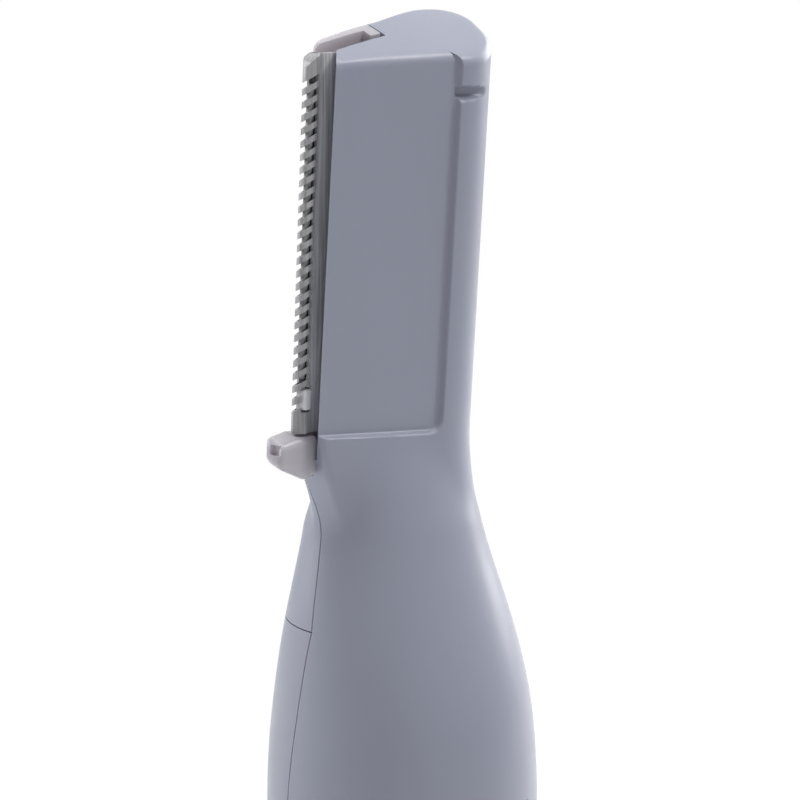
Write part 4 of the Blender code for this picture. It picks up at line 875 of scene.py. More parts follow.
@dataclass
class OuterForm:
    """The trimmer's outer form, from the cap's seam to the top of the head."""

    frames: Frames = field(default_factory=Frames)
    # Handle
    seam: float = 0.0201
    foot_radius: float = 0.0087
    grip_radius: float = 0.00955
    grip_start: float = 0.055
    shoulder_start: float = 0.084
    shoulder_fullness: float = 0.013
    wall: float = 0.0014
    cavity_top: float = 0.1063
    cavity_reach: float = 0.001
    slide_height: float = 0.0755
    well_depth: float = 0.0007
    # Neck
    neck_fullness: float = 0.0055
    neck_height: float = 0.1075
    neck_radius: float = 0.00588
    neck_flatness: float = 0.20
    neck_oval_start: float = 0.0906
    neck_shift: float = -0.0008
    blend_start: float = 0.1045
    # Section of the head
    head_left: float = -0.00836
    head_front: float = -0.0037
    end_radius: float = 0.00365
    end_u: float = 0.0012
    end_angle: float = 3.0
    back_angle: float = 20.0
    back_u: float = 0.0007
    back_v: float = 0.00294
    back_radius: float = 0.0053
    back_corner: float = 0.0020
    back_left: float = -0.0089
    corner: float = 0.0005
    pocket_depth: float = 0.0050
    tab_reach: float = 0.0038
    # Top of the head
    height: float = 0.02524
    top_slope: float = 0.50
    top_bend: float = 14.7
    top_crown: float = 5.8
    top_crown_u: float = 0.0031
    top_round: float = 0.00055
    # Recessed panel and snap notch
    panel_depth: float = 0.00042
    panel_right: float = 0.0010
    panel_foot: float = -0.0004
    panel_corner: float = 0.0009
    panel_edge: float = 0.00030
    notch_top: float = 0.0231
    notch_height: float = 0.0011
    notch_depth: float = 0.0007
    notch_lip: float = 0.00016
    notch_ramp: float = 0.55
    notch_left: float = 0.00035
    notch_fade: float = 0.0003
    # Spacing of the skin's points and rings
    front_steps: int = 26
    back_steps: int = 22
    left_steps: int = 9
    edge_shares: tuple[float, ...] = (-1.4, -0.8, -0.5, -0.3, -0.1, 0.1, 0.3, 0.5, 0.8)
    arc_steps: tuple[int, ...] = (5, 34, 12, 8, 4)
    least_step: float = 0.00002
    grip_rings: int = 15
    neck_rings: int = 45
    cavity_grip_rings: int = 8
    cavity_neck_rings: int = 30
    fine_step: float = 0.00006
    neck_step: float = 0.0003
    head_step: float = 0.0012
    head_start: float = 0.0014
    foot_band: float = 0.0006
    notch_band: float = 0.0002
    notch_run: float = 1.25
    rim_band: float = 0.0045
    rim_rings: int = 34
    round_rings: int = 6
    crown_rings: int = 12
    crown_end: float = 0.985

    def outline(self) -> list[Flat]:
        """Head section with its blade unit, counterclockwise from the front left corner.

        Returns:
            The section's points in u and v.
        """
        end = (self.end_u, self.head_front + self.end_radius)
        back_start = 90.0 + self.back_angle
        turn = 90.0 - self.back_angle / 3
        back_middle = Vector((self.back_u, self.back_v)) - self.back_radius * heading(back_start)
        rounding = tuple(back_middle + (self.back_radius - self.back_corner) * heading(turn))
        front_corner = (self.head_left + self.corner, self.head_front + self.corner)
        run = self.back_left + self.corner - self.back_u
        rise = run * math.tan(math.radians(self.back_angle))
        back_end = Vector((self.back_u + run, self.back_v + rise))
        back_corner = back_end - self.corner * heading(back_start)
        near = [self.panel_right + self.panel_edge * share for share in self.edge_shares]
        start, width, steps = front_corner[0], near[0] - front_corner[0], self.front_steps
        stations = [start + width * index / steps for index in range(1, steps)] + near
        front_arc, end_arc, rounding_arc, back_arc, left_arc = self.arc_steps
        outline = arc(front_corner, self.corner, 180.0, 270.0, front_arc)
        outline += [(u, self.head_front) for u in stations if u < self.end_u - self.least_step]
        outline += arc(end, self.end_radius, -90.0, self.end_angle, end_arc)
        outline += arc(rounding, self.back_corner, self.end_angle, turn, rounding_arc)
        outline += arc(tuple(back_middle), self.back_radius, turn, back_start, back_arc)[1:]
        outline += between((self.back_u, self.back_v), tuple(back_end), self.back_steps)
        outline += arc(tuple(back_corner), self.corner, back_start, 180.0, left_arc)
        left_end = (self.back_left, back_corner.y)
        outline += between(left_end, (self.head_left, front_corner[1]), self.left_steps)
        return outline

    def angles(self) -> list[float]:
        """Directions of the outline's points, seen from the middle of the head."""
        middle = (self.head_left + self.end_u + self.end_radius) / 2
        return [math.atan2(v, u - middle) for u, v in self.outline()]

    def radius_at(self, height: float) -> float:
        """Radius of the round handle at a height."""
        growth = self.grip_radius - self.foot_radius
        return self.foot_radius + growth * ease(height / self.grip_start)

    def oval(self, height: float, radius: float, shrink: float = 0.0) -> list[Vector]:
        """Oval section of the handle or neck.

        Args:
            height: Height of the section.
            radius: Half width seen from the front left.
            shrink: How far the section is drawn in.

        Returns:
            The section's points.
        """
        share = ease((height - self.neck_oval_start) / (self.neck_height - self.neck_oval_start))
        ratio = 1.0 - self.neck_flatness * share
        # Seen from 30 degrees off, the axes count by that angle's squared cosine and sine.
        half_x = radius / math.sqrt(0.75 + 0.25 * ratio**2)
        half_y = half_x * ratio
        middle = self.neck_shift * share
        return [Vector((middle + (half_x - shrink) * math.cos(angle),
                        (half_y - shrink) * math.sin(angle), height))
                for angle in self.angles()]

    def shoulder(self, amount: float) -> Flat:
        """A place on the curve from the grip to the neck.

        Args:
            amount: Share of the curve, from 0 to 1.

        Returns:
            Height and radius there.
        """
        rest = 1.0 - amount
        weights = (rest**3, 3 * rest**2 * amount, 3 * rest * amount**2, amount**3)
        heights = (self.shoulder_start, self.shoulder_start + self.shoulder_fullness,
                   self.neck_height - self.neck_fullness, self.neck_height)
        radii = (self.grip_radius, self.grip_radius, self.neck_radius, self.neck_radius)
        return (sum(weight * value for weight, value in zip(weights, heights)),
                sum(weight * value for weight, value in zip(weights, radii)))

    def top(self, u: float, v: float) -> float:
        """Height of the sloping, crowned top above the head's base.

        Args:
            u: Distance to the right in the head's frame.
            v: Distance to the back in the head's frame.

        Returns:
            The height there.
        """
        depth = v - self.head_front - self.panel_depth
        return self.height - self.top_crown * (u - self.top_crown_u) ** 2 \
            + self.top_slope * depth - self.top_bend * depth**2

    def recess(self, u: float, w: float) -> float:
        """Depth of the front's recessed panel and snap notch.

        Args:
            u: Distance to the right in the head's frame.
            w: Height in the head's frame.

        Returns:
            The depth at that point of the front.
        """
        across = u - (self.panel_right - self.panel_corner)
        down = (self.panel_foot + self.panel_corner) - w
        outside = math.hypot(max(across, 0.0), max(down, 0.0))
        beyond = outside + min(max(across, down), 0.0) - self.panel_corner
        panel = self.panel_depth * ease(0.5 - beyond / self.panel_edge)
        lip = ease(0.5 + (self.notch_top - w) / self.notch_lip)
        rise = w - self.notch_top + self.notch_height
        ramp = ease(rise / (self.notch_height * self.notch_ramp))
        inside = ease((u - self.panel_right + self.notch_left) / self.notch_fade)
        return max(panel, self.notch_depth * lip * ramp * inside)

    def pressed(self, point: Vector) -> Vector:
        """A point of the front moved back to the bottom of the recess that it lies in.

        Args:
            point: Point in the shared frame.

        Returns:
            Its new place.
        """
        local = self.frames.head().inverted() @ point
        depth = self.recess(local.x, local.z)
        if depth > 1e-6:
            local.y = max(local.y, self.head_front + depth)
        return self.frames.head() @ local

    def flat(self, height: float) -> list[Vector]:
        """The head's outline at a height above its base."""
        return [self.frames.head() @ Vector((u, v, height)) for u, v in self.outline()]

    def crown(self, inset: float, drop: float, share: float = 0.0) -> list[Vector]:
        """The head's outline on its sloping top.

        Args:
            inset: How far the outline is drawn in.
            drop: How far it lies below the top.
            share: Share of the way to the middle, for the rings that cover the top.

        Returns:
            The points, in the shared frame.
        """
        middle = Vector((self.end_u - self.end_radius, 0.0))
        ring = []
        for u, v in self.outline():
            v = max(v, self.head_front + self.recess(u, self.height))
            offset = Vector((u, v)) - middle
            u, v = middle + offset * (1.0 - inset / offset.length) * (1.0 - share)
            ring.append(self.frames.head() @ Vector((u, v, self.top(u, v) - drop)))
        return ring

    def blended(self, height: float, radius: float) -> list[Vector]:
        """A neck section that turns into the head's section as it rises.

        Args:
            height: Height of the section.
            radius: Radius of the neck there.

        Returns:
            The section's points.
        """
        share = ease((height - self.blend_start) / (self.frames.base - self.blend_start))
        rings = zip(self.oval(height, radius), self.flat(height - self.frames.base))
        return [self.pressed(low.lerp(high, share)) for low, high in rings]

    def skin(self) -> BMesh:
        """The whole outer skin, closed at its foot and top.

        Returns:
            The skin.
        """
        rise = self.shoulder_start - self.seam
        heights = [self.seam + rise * index / self.grip_rings for index in range(self.grip_rings)]
        rings = [self.oval(height, self.radius_at(height)) for height in heights]
        for index in range(self.neck_rings + 1):
            rings.append(self.blended(*self.shoulder(index / self.neck_rings)))
        height = self.neck_height
        while height < self.frames.base + self.foot_band:
            fine = abs(height - self.frames.base - self.panel_foot) < self.foot_band
            height += self.fine_step if fine else self.neck_step
            rings.append(self.blended(height, self.neck_radius))
        w = self.head_start
        notch_foot = self.notch_top - self.notch_run * self.notch_height
        while w < self.height - self.rim_band:
            rings.append([self.pressed(point) for point in self.flat(w)])
            fine = notch_foot < w < self.notch_top + self.notch_band
            w += self.fine_step if fine else self.head_step
        low, edge = rings[-1], self.crown(0.0, self.top_round)
        for index in range(1, self.rim_rings + 1):
            share = index / self.rim_rings
            rings.append([self.pressed(start.lerp(end, share)) for start, end in zip(low, edge)])
        for index in range(1, self.round_rings + 1):
            angle = math.radians(90.0 * index / self.round_rings)
            inset = self.top_round * (1.0 - math.cos(angle))
            rings.append(self.crown(inset, self.top_round * (1.0 - math.sin(angle))))
        shares = [index / self.crown_rings for index in range(1, self.crown_rings)]
        rings += [self.crown(self.top_round, 0.0, share) for share in shares + [self.crown_end]]
        return grown(rings)

    def hollow(self) -> BMesh:
        """The space inside the shells.

        Returns:
            The space.
        """
        start, rise = self.seam - self.cavity_reach, self.shoulder_start - self.seam
        steps = self.cavity_grip_rings
        heights = [start + rise * index / steps for index in range(steps)]
        sections = [(height, self.radius_at(height)) for height in heights]
        steps = self.cavity_neck_rings
        curve = [self.shoulder(index / steps) for index in range(steps + 1)]
        sections += [place for place in curve if place[0] < self.cavity_top]
        sections.append((self.cavity_top, self.neck_radius))
        return grown([self.oval(height, radius, self.wall) for height, radius in sections])


@dataclass
class Shells:
    """Front shell with the head, rear shell and the neck's side cover."""

    form: OuterForm
    hairline: float = 0.00009
    # Parting line
    part_low_y: float = -0.0002
    part_sweep: float = -0.0015
    part_curve: float = 1.5
    part_bend: float = 0.0760
    part_top_y: float = -0.00085
    part_steps: int = 24
    rear_top: float = 0.1086
    # Side cover of the neck
    cover_bottom: float = 0.0981
    cover_top: float = 0.10845
    cover_back_y: float = 0.0034
    cover_inner: float = -0.0056
    cover_steps: int = 6
    # Pocket of the blade unit and passage of its rod
    pocket_floor: float = -0.0034
    passage_u: float = -0.0042
    passage_v: float = 0.0003
    passage_radius: float = 0.00115
    passage_top: float = 0.0042
    # Well of the power slide
    well_width: float = 0.0066
    well_low: float = 0.0074
    well_top: float = 0.0102
    well_point: float = 0.0050
    well_curve: float = 1.6
    well_steps: int = 8
    window_half_width: float = 0.00132
    window_half_height: float = 0.0043
    # Screws
    screw_x: float = 0.0049
    screw_z: float = 0.0895
    screw_head: float = 0.00155
    screw_seat: float = 0.0042

    def parting(self, height: float) -> float:
        """Depth of the shells' parting line.

        Args:
            height: Height in the shared frame.

        Returns:
            The line's Y at that height.
        """
        if height < self.cover_bottom:
            rise = (height - self.part_bend) / (self.cover_bottom - self.part_bend)
            return self.part_low_y + self.part_sweep * max(0.0, rise)**self.part_curve
        share = (height - self.cover_bottom) / (self.cover_top - self.cover_bottom)
        bottom = self.part_low_y + self.part_sweep
        return bottom + (self.part_top_y - bottom) * share

    def behind(self, offset: float, low: float, high: float) -> BMesh:
        """Space behind the parting line, as seen from the side.

        Args:
            offset: How far it starts behind the line.
            low: Its lowest height.
            high: Its highest height.

        Returns:
            The space.
        """
        reach, steps = 2 * self.form.grip_radius, self.part_steps
        drop = self.part_bend - self.cover_bottom
        heights = [high, (high + self.cover_bottom) / 2]
        heights += [self.cover_bottom + drop * index / steps for index in range(steps + 1)]
        outline = [(self.part_low_y + offset, low), (reach, low), (reach, high)]
        outline += [(self.parting(height) + offset, height) for height in heights]
        return prism(outline, -reach, reach, self.form.frames.side())

    def cover_space(self, shrink: float, inner: float) -> BMesh:
        """Space of the neck's side cover.

        Args:
            shrink: How far its outline is drawn in.
            inner: How far to the right it reaches.

        Returns:
            The space.
        """
        low, high = self.cover_bottom + shrink, self.cover_top - shrink
        back, steps = self.cover_back_y - shrink, self.cover_steps
        heights = [high + (low - high) * index / steps for index in range(steps + 1)]
        outline = [(back, low), (back, high)]
        outline += [(self.parting(height) - self.hairline / 2 + shrink, height)
                    for height in heights]
        return prism(outline, -2 * self.form.grip_radius, inner, self.form.frames.side())

    def pocket(self) -> BMesh:
        """Space of the blade unit in the head.

        Returns:
            The space.
        """
        reach = 3 * self.form.tab_reach
        low = (-self.form.pocket_depth, 0.0, -2 * self.form.height)
        return block(low, (reach, reach, -self.pocket_floor), self.form.frames.slab())

    def undercut(self) -> BMesh:
        """Bevel behind the front plate's left edge.

        Returns:
            The space that the bevel takes away.
        """
        form, frames = self.form, self.form.frames
        corner = Vector((form.head_left - frames.slab_u,
                         form.head_front + form.panel_depth - frames.slab_v))
        outward = -heading(frames.slab_angle)
        edge_s = corner.dot(outward)
        edge_t = corner.dot(Vector((outward.y, -outward.x)))
        slope = edge_t / edge_s
        lip, reach = form.panel_depth, 2 * edge_s
        outline = [(-lip, -lip * slope), (reach, reach * slope), (2 * reach, reach), (-lip, reach)]
        low = -form.panel_foot - self.pocket_floor / 2
        return prism(outline, -2 * form.height, low, frames.slab(False))

    def passage(self) -> BMesh:
        """Bore that the drive rod runs in.

        Returns:
            The bore's space.
        """
        form = self.form
        place = Matrix.Translation((self.passage_u, self.passage_v, 0.0))
        low = form.cavity_top - form.frames.base - form.wall
        return bore(self.passage_radius, low, self.passage_top, 24, form.frames.head() @ place)

    def well(self) -> BMesh:
        """Shallow well round the power slide, with a pointed top end.

        Returns:
            The well's space.
        """
        form, half = self.form, self.well_width / 2
        low, top = form.slide_height - self.well_low, form.slide_height + self.well_top
        right = []
        for index in range(self.well_steps + 1):
            share = index / self.well_steps
            right.append((half * (1.0 - share**self.well_curve),
                          top - self.well_point + self.well_point * share))
        left = [(-x, z) for x, z in reversed(right[:-1])]
        outline = arc((0.0, low + half), half, 180.0, 360.0, 20) + right + left
        return prism(outline, form.grip_radius - form.well_depth, 2 * form.grip_radius,
                     form.frames.switch() @ form.frames.side())

    def window(self) -> BMesh:
        """Slot that the slide's stem travels in.

        Returns:
            The slot's space.
        """
        form, half, reach = self.form, self.window_half_width, self.window_half_height
        return block((form.grip_radius / 2, -half, form.slide_height - reach),
                     (2 * form.grip_radius, half, form.slide_height + reach),
                     form.frames.switch())

    def screw_space(self, radius: float, front: float) -> BMesh:
        """Two bores along Y for the rear shell's screws.

        Args:
            radius: Radius of the bores.
            front: Y of their front ends.

        Returns:
            Both bores' space.
        """
        back = 2 * self.form.grip_radius
        turn = Matrix.Rotation(math.radians(-90.0), 4, "X")
        places = [Matrix.Translation((side * self.screw_x, 0.0, self.screw_z)) @ turn
                  for side in (-1, 1)]
        return merged([bore(radius, front, back, 32, place) for place in places])

    def build(self) -> None:
        """Build and dress the three pieces."""
        gap, skin, hollow = self.hairline, self.form.skin, self.form.hollow
        front = carved(skin(), (self.passage(), Cut.TAKE), (hollow(), Cut.TAKE),
                       (self.behind(-gap / 2, 0.0, self.rear_top + gap / 2), Cut.TAKE),
                       (self.pocket(), Cut.TAKE), (self.undercut(), Cut.TAKE),
                       (self.well(), Cut.TAKE), (self.window(), Cut.TAKE))
        dressed("front_shell_fine", front, SHELL_PLASTIC, "handle", "front_shell")
        rear = carved(skin(), (self.passage(), Cut.TAKE), (hollow(), Cut.TAKE),
                      (self.behind(gap / 2, self.form.seam, self.rear_top - gap / 2), Cut.KEEP),
                      (self.cover_space(0.0, self.cover_inner + gap), Cut.TAKE),
                      (self.pocket(), Cut.TAKE),
                      (self.screw_space(self.screw_head, self.screw_seat), Cut.TAKE))
        dressed("rear_shell_fine", rear, SHELL_PLASTIC, "handle", "rear_shell")
        cover = carved(skin(), (self.passage(), Cut.TAKE),
                       (self.cover_space(gap, self.cover_inner), Cut.KEEP),
                       (hollow(), Cut.TAKE), (self.pocket(), Cut.TAKE))
        dressed("neck_side_cover_fine", cover, COVER_PLASTIC, "handle", "neck_side_cover")


@dataclass
class BladeUnit:
    """Pull-out blade unit: milky frame with its thumb tab, folded comb, latch and cutter."""

    form: OuterForm
    gap: float = 0.00012
    # Milky frame
    frame_low: float = 0.0042
    frame_front: float = 0.0004
    frame_foot_share: float = 0.9
    channel_depth: float = 0.00074
    channel_inner: float = -0.0040
    weld: float = 0.000004
    # Thumb tab
    tab_top: float = -0.00005
    tab_tip_top: float = -0.0004
    tab_tip_floor: float = -0.0020
    tab_floor: float = -0.0031
    tab_inner: float = -0.0022
    tab_front: float = -0.0005
    tab_back: float = 0.0012
    tab_tilt: float = 0.30
    tab_round: float = 0.00054
    tab_heel: float = 0.8
    dimple_size: float = 0.0007
    dimple_shares: Flat = (2.1, 0.9)
    dimple_depth: float = 1.4
    dimple_round: float = 0.00008
    # Folded comb
    sheet: float = 0.0002
    sheet_gap: float = 0.0001
    flange_length: float = 0.0033
    flange_show: float = 0.00088
    jog: float = 0.00025
    jog_lead: float = 0.3
    jog_ease: float = 0.08
    jog_tail: float = 0.25
    nose_reach: float = 0.00185
    nose_radius: float = 0.0006
    comb_foot: float = -0.0003
    comb_top: float = 0.0251
    end_shares: tuple[Flat, ...] = ((0.78, 0.16), (0.92, 0.30), (1.0, 0.52))
    rear_leg_end: float = 0.00045
    plug_gap: float = 0.0009
    tooth_count: int = 25
    tooth_pitch: float = 0.000864
    first_tooth: float = 0.00172
    slot_width: float = 0.00044
    slot_slant: float = 24.0
    slot_root: float = 0.00110
    # Latch and its window
    latch_s: Flat = (0.00085, 0.0015)
    latch_w: Flat = (0.0013, 0.0027)
    latch_t: Flat = (-0.00022, 0.00068)
    latch_round: float = 0.00016
    foot_inset: float = 0.0001
    foot_depth: float = 0.0003
    foot_overlap: float = 0.0006
    window_gap: float = 0.00015
    # Cutter
    blade_sheet: float = 0.00025
    blade_edge: float = 0.0006
    blade_nose: float = 0.0003
    blade_step: float = 0.00115
    blade_inner: float = -0.0030
    blade_low: float = 0.0012
    blade_teeth_low: float = 0.0034
    blade_top: float = 0.0231
    blade_slot: float = 0.00030
    finger_w: float = 0.0022
    finger_half: float = 0.00062
    finger_length: float = 0.0009

    def tab(self) -> BMesh:
        """Rounded thumb tab below the comb's nose; its top falls to the front and to its tip.

        Returns:
            The tab.
        """
        reach = self.form.tab_reach
        outline = [
            (self.tab_inner, self.tab_floor + self.tab_round),
            (reach / 8, self.tab_floor + self.tab_round * self.tab_heel),
            (reach / 3, self.tab_floor),
            (reach, self.tab_tip_floor),
            (reach, self.tab_tip_top),
            (reach / 2, self.tab_top),
            (self.tab_inner, self.tab_top),
        ]
        shape = prism(outline, self.tab_front, self.tab_back, split=False)
        for vertex in shape.verts:
            vertex.co.y -= self.tab_tilt * (self.tab_back - vertex.co.z)
        soften(shape, self.tab_round, 6, 1.0)
        shape.transform(self.form.frames.sheet())
        return shape

    def dimple(self) -> BMesh:
        """Small recess in the tab's tip.

        Returns:
            The recess's space.
        """
        reach, size = self.form.tab_reach, self.dimple_size
        middle = (self.tab_tip_top + self.tab_tip_floor) / 2
        front, back = (self.tab_back - share * size for share in self.dimple_shares)
        low = (reach - self.sheet * self.dimple_depth, front, -middle - size / 2)
        high = (2 * reach, back, -middle + size / 2)
        return round_block(low, high, self.dimple_round, self.form.frames.slab())

    def carrier(self) -> BMesh:
        """Milky frame, flush with the head, with the tab at its foot.

        Returns:
            The frame and its tab.
        """
        frames, tip = self.form.frames, self.form.tab_reach
        reach, high = 3 * tip, 2 * self.form.height
        inner = -self.form.pocket_depth + self.gap
        low = self.frame_low + self.gap
        floor = self.tab_floor + self.sheet / 4
        corner = floor + self.tab_round
        foot = self.tab_inner * self.frame_foot_share
        outline = [(inner, low), (foot, low), (foot, corner), (tip / 8, corner),
                   (tip / 3, floor), (reach, floor), (reach, high), (inner, high)]
        slab = prism(outline, self.frame_front, reach, frames.sheet())
        clear = block((self.tab_inner - self.tab_round, 2 * self.tab_front, -tip),
                      (-self.tab_front, self.frame_front, -2 * self.tab_floor), frames.slab())
        channel = block((self.channel_inner, -self.nose_reach, -high),
                        (self.nose_reach + self.sheet_gap * 2,
                         self.frame_front + self.channel_depth,
                         -self.comb_foot + self.sheet_gap * 2), frames.slab())
        tab = carved(self.tab(), (clear, Cut.TAKE), (self.dimple(), Cut.TAKE))
        shape = carved(self.form.skin(), (slab, Cut.KEEP), (tab, Cut.ADD), (channel, Cut.TAKE))
        bmesh.ops.remove_doubles(shape, verts=shape.verts, dist=self.weld)
        return shape

    def section(self) -> list[Flat]:
        """Section of the folded comb sheet, outer side first.

        Returns:
            The section's points in s and t; shares of the jog's depth ease its corners.
        """
        outer, inner, jog = self.nose_radius, self.nose_radius - self.sheet, self.jog
        front = self.sheet_gap
        middle = front - jog + outer
        centre = (self.nose_reach - outer, middle)
        start, end = self.flange_show, self.flange_show + jog
        outline = [(-self.flange_length, front)]
        outline += [(start - jog * self.jog_lead, front), (start, front - jog * self.jog_ease)]
        outline += [(end, front - jog * (1.0 - self.jog_ease))]
        outline += [(end + jog * self.jog_tail, front - jog)]
        outline += arc(centre, outer, -90.0, 90.0, 18)
        outline += [(self.rear_leg_end, middle + outer), (self.rear_leg_end, middle + inner)]
        outline += arc(centre, inner, 90.0, -90.0, 12)
        outline += [(end + self.sheet / 2, front - jog + self.sheet),
                    (start + self.sheet / 2, front + self.sheet)]
        outline += [(-self.flange_length, front + self.sheet)]
        return outline

    def slots(self, root: float, first: int, width: float, shift: float) -> BMesh:
        """Slanted gaps between teeth.

        Args:
            root: Where the gaps end inward.
            first: Number of the lowest gap.
            width: Width of a gap.
            shift: How far the gaps lie above the comb's own.

        Returns:
            The shapes that cut the gaps.
        """
        shape = bmesh.new()
        reach = 2 * self.nose_reach
        slant = math.tan(math.radians(self.slot_slant))
        turn = heading(45.0) * self.nose_radius
        tip = self.nose_reach - self.nose_radius + turn.x
        middle = self.sheet_gap - self.jog + self.nose_radius + turn.y
        for index in range(first, self.tooth_count + 1):
            height = self.first_tooth + (index - 0.5) * self.tooth_pitch + shift
            made = bmesh.ops.create_cube(shape, size=1.0)["verts"]
            bmesh.ops.scale(shape, vec=(reach, reach, width), verts=made)
            bmesh.ops.translate(shape, vec=(reach / 2 + root - tip, 0.0, 0.0), verts=made)
            for corner in made:
                corner.co.z += (corner.co.x + corner.co.y) * slant
            bmesh.ops.translate(shape, vec=(tip, middle, -height), verts=made)
        shape.transform(self.form.frames.slab())
        return shape

    def comb(self) -> BMesh:
        """Folded steel comb, slotted across its nose, with a closed, rounded upper end.

        Returns:
            The comb.
        """
        frames, reach, top = self.form.frames, self.nose_reach, self.comb_top
        shape = prism(self.section(), -top, -self.comb_foot, frames.slab())
        side = self.window_gap
        window = block((self.latch_s[0] - side, -self.nose_radius, -self.latch_w[1] - side),
                       (self.latch_s[1] + side, self.latch_t[0] + 4 * side,
                        -self.latch_w[0] + side), frames.slab())
        end = [(reach * out, top - reach * down) for out, down in self.end_shares]
        end = [(self.flange_show, top), *end, (2 * reach, top - 2 * reach),
               (2 * reach, 2 * top), (self.flange_show, 2 * top)]
        cap = prism(end, -2 * reach, 2 * reach, frames.sheet())
        centre = (reach - self.nose_radius, self.sheet_gap - self.jog + self.nose_radius)
        disc = arc(centre, self.nose_radius - self.sheet / 2, -180.0, 180.0, 24)[:-1]
        plug = prism(disc, self.sheet / 4 - top, self.sheet - self.blade_top - self.plug_gap,
                     frames.slab())
        slots = self.slots(self.slot_root, 0, self.slot_width, 0.0)
        return carved(shape, (slots, Cut.TAKE), (window, Cut.TAKE), (plug, Cut.ADD),
                      (cap, Cut.TAKE))

    def blade(self) -> BMesh:
        """Toothed cutter inside the comb's fold; its teeth stand in the comb's slots.

        Returns:
            The cutter.
        """
        frames, reach, half = self.form.frames, self.nose_reach, self.blade_edge / 2
        front = 2 * self.sheet_gap + self.sheet
        back = front + self.blade_sheet
        middle = self.sheet_gap - self.jog + self.nose_radius
        outline = [(self.blade_inner, back), (self.blade_inner, front), (self.blade_step, front)]
        outline += arc((reach - self.blade_nose - half, middle), half, -90.0, 90.0, 12)
        outline += [(self.blade_step, back)]
        shape = prism(outline, -self.blade_top, -self.blade_low, frames.slab())
        foot = block((self.latch_s[0] - self.gap, -reach, -self.blade_teeth_low),
                     (2 * reach, reach, 0.0), frames.slab())
        notch = block((2 * self.blade_inner, -reach, -self.finger_w - self.finger_half),
                      (self.blade_inner + self.finger_length, reach,
                       self.finger_half - self.finger_w), frames.slab())
        root = self.blade_step + self.sheet / 10
        slots = self.slots(root, 3, self.blade_slot, self.tooth_pitch / 2)
        return carved(shape, (foot, Cut.TAKE), (slots, Cut.TAKE), (notch, Cut.TAKE))

    def latch(self) -> BMesh:
        """Pale hook that shows in the comb's window, with a foot below it.

        Returns:
            The hook and its foot.
        """
        (inner, outer), (low, high), (front, back) = self.latch_s, self.latch_w, self.latch_t
        frames, inset = self.form.frames, self.foot_inset
        hook = round_block((inner, front, -high), (outer, back, -low), self.latch_round,
                           frames.slab())
        foot = block((inner + inset, back - self.foot_depth, -low - self.foot_overlap),
                     (outer - inset, back, -self.comb_foot), frames.slab())
        return merged([hook, foot])

    def build(self) -> None:
        """Build and dress the unit."""
        dressed("blade_frame_fine", self.carrier(), MILKY_PLASTIC, "blade_unit", "blade_frame")
        dressed("comb_fine", self.comb(), COMB_STEEL_PAINTED_LIGHT, "blade_unit", "fixed_comb", sharp=25.0)
        dressed("comb_latch_fine", self.latch(), PALE_PLASTIC, "blade_unit", "comb_latch")
        dressed("moving_blade_fine", self.blade(), BLADE_STEEL_PAINTED_SHADE, "cutter", "moving_blade",
                sharp=25.0)
        repaint("blade_spring", ROLLED_STEEL)


@dataclass
class BatteryCap:
    """Pull-off cap with its seal, contact and coil spring."""

    form: OuterForm
    top: float = 0.02
    top_edge: float = 0.00012
    side_rings: int = 12
    plug_length: float = 0.0072
    plug_play: float = 0.0003
    lead: float = 0.0004
    bore: float = 0.0059
    floor: float = 0.0022
    foot_round: float = 0.0014
    seal_height: float = 0.0233
    seal_radius: float = 0.0005
    groove_play: float = 0.0001
    groove_depth_play: float = 0.0004

    def cup(self) -> BMesh:
        """Turned cap with its plug, seal groove and rounded foot.

        Returns:
            The cap.
        """
        form, lead, edge = self.form, self.lead, self.top_edge
        plug = form.radius_at(self.top) - form.wall - self.plug_play
        wall = form.radius_at(self.seal_height) - form.wall
        groove = wall - 2 * self.seal_radius - self.groove_depth_play
        low = self.seal_height - self.seal_radius - self.groove_play
        high = self.seal_height + self.seal_radius + self.groove_play
        rim = self.top + self.plug_length
        profile = [(0.0, self.floor), (self.bore, self.floor), (self.bore, rim - lead / 2)]
        profile += [(self.bore + lead / 2, rim), (plug - lead, rim), (plug, rim - lead)]
        profile += [(plug, high), (groove, high), (groove, low), (plug, low), (plug, self.top)]
        outer = form.radius_at(self.top)
        profile += [(outer - edge, self.top), (outer, self.top - edge)]
        for index in range(1, self.side_rings):
            height = self.top + (self.foot_round - self.top) * index / self.side_rings
            profile.append((form.radius_at(height), height))
        foot = (form.radius_at(self.foot_round) - self.foot_round, self.foot_round)
        profile += arc(foot, self.foot_round, 0.0, -90.0, 10)
        profile.append((0.0, 0.0))
        return lathe(profile, 128)

    def seal(self) -> BMesh:
        """O-ring in the plug's groove.

        Returns:
            The ring.
        """
        wall = self.form.radius_at(self.seal_height) - self.form.wall - self.plug_play
        centre = (wall - self.seal_radius, self.seal_height)
        return lathe(arc(centre, self.seal_radius, 90.0, -270.0, 16)[:-1], 96, closed=True)

    def build(self) -> None:
        """Build and dress the cap and what comes out with it."""
        dressed("battery_cap_fine", self.cup(), CAP_PLASTIC, "cap_and_cell", "battery_cap")
        dressed("cap_seal_fine", self.seal(), SEAL_RUBBER, "cap_and_cell", "cap_seal_ring")
        repaint("battery_cell", CELL_FILM)
        repaint("battery_spring", ROLLED_STEEL)
        repaint("cap_contact_strip", CONTACT_BRASS)


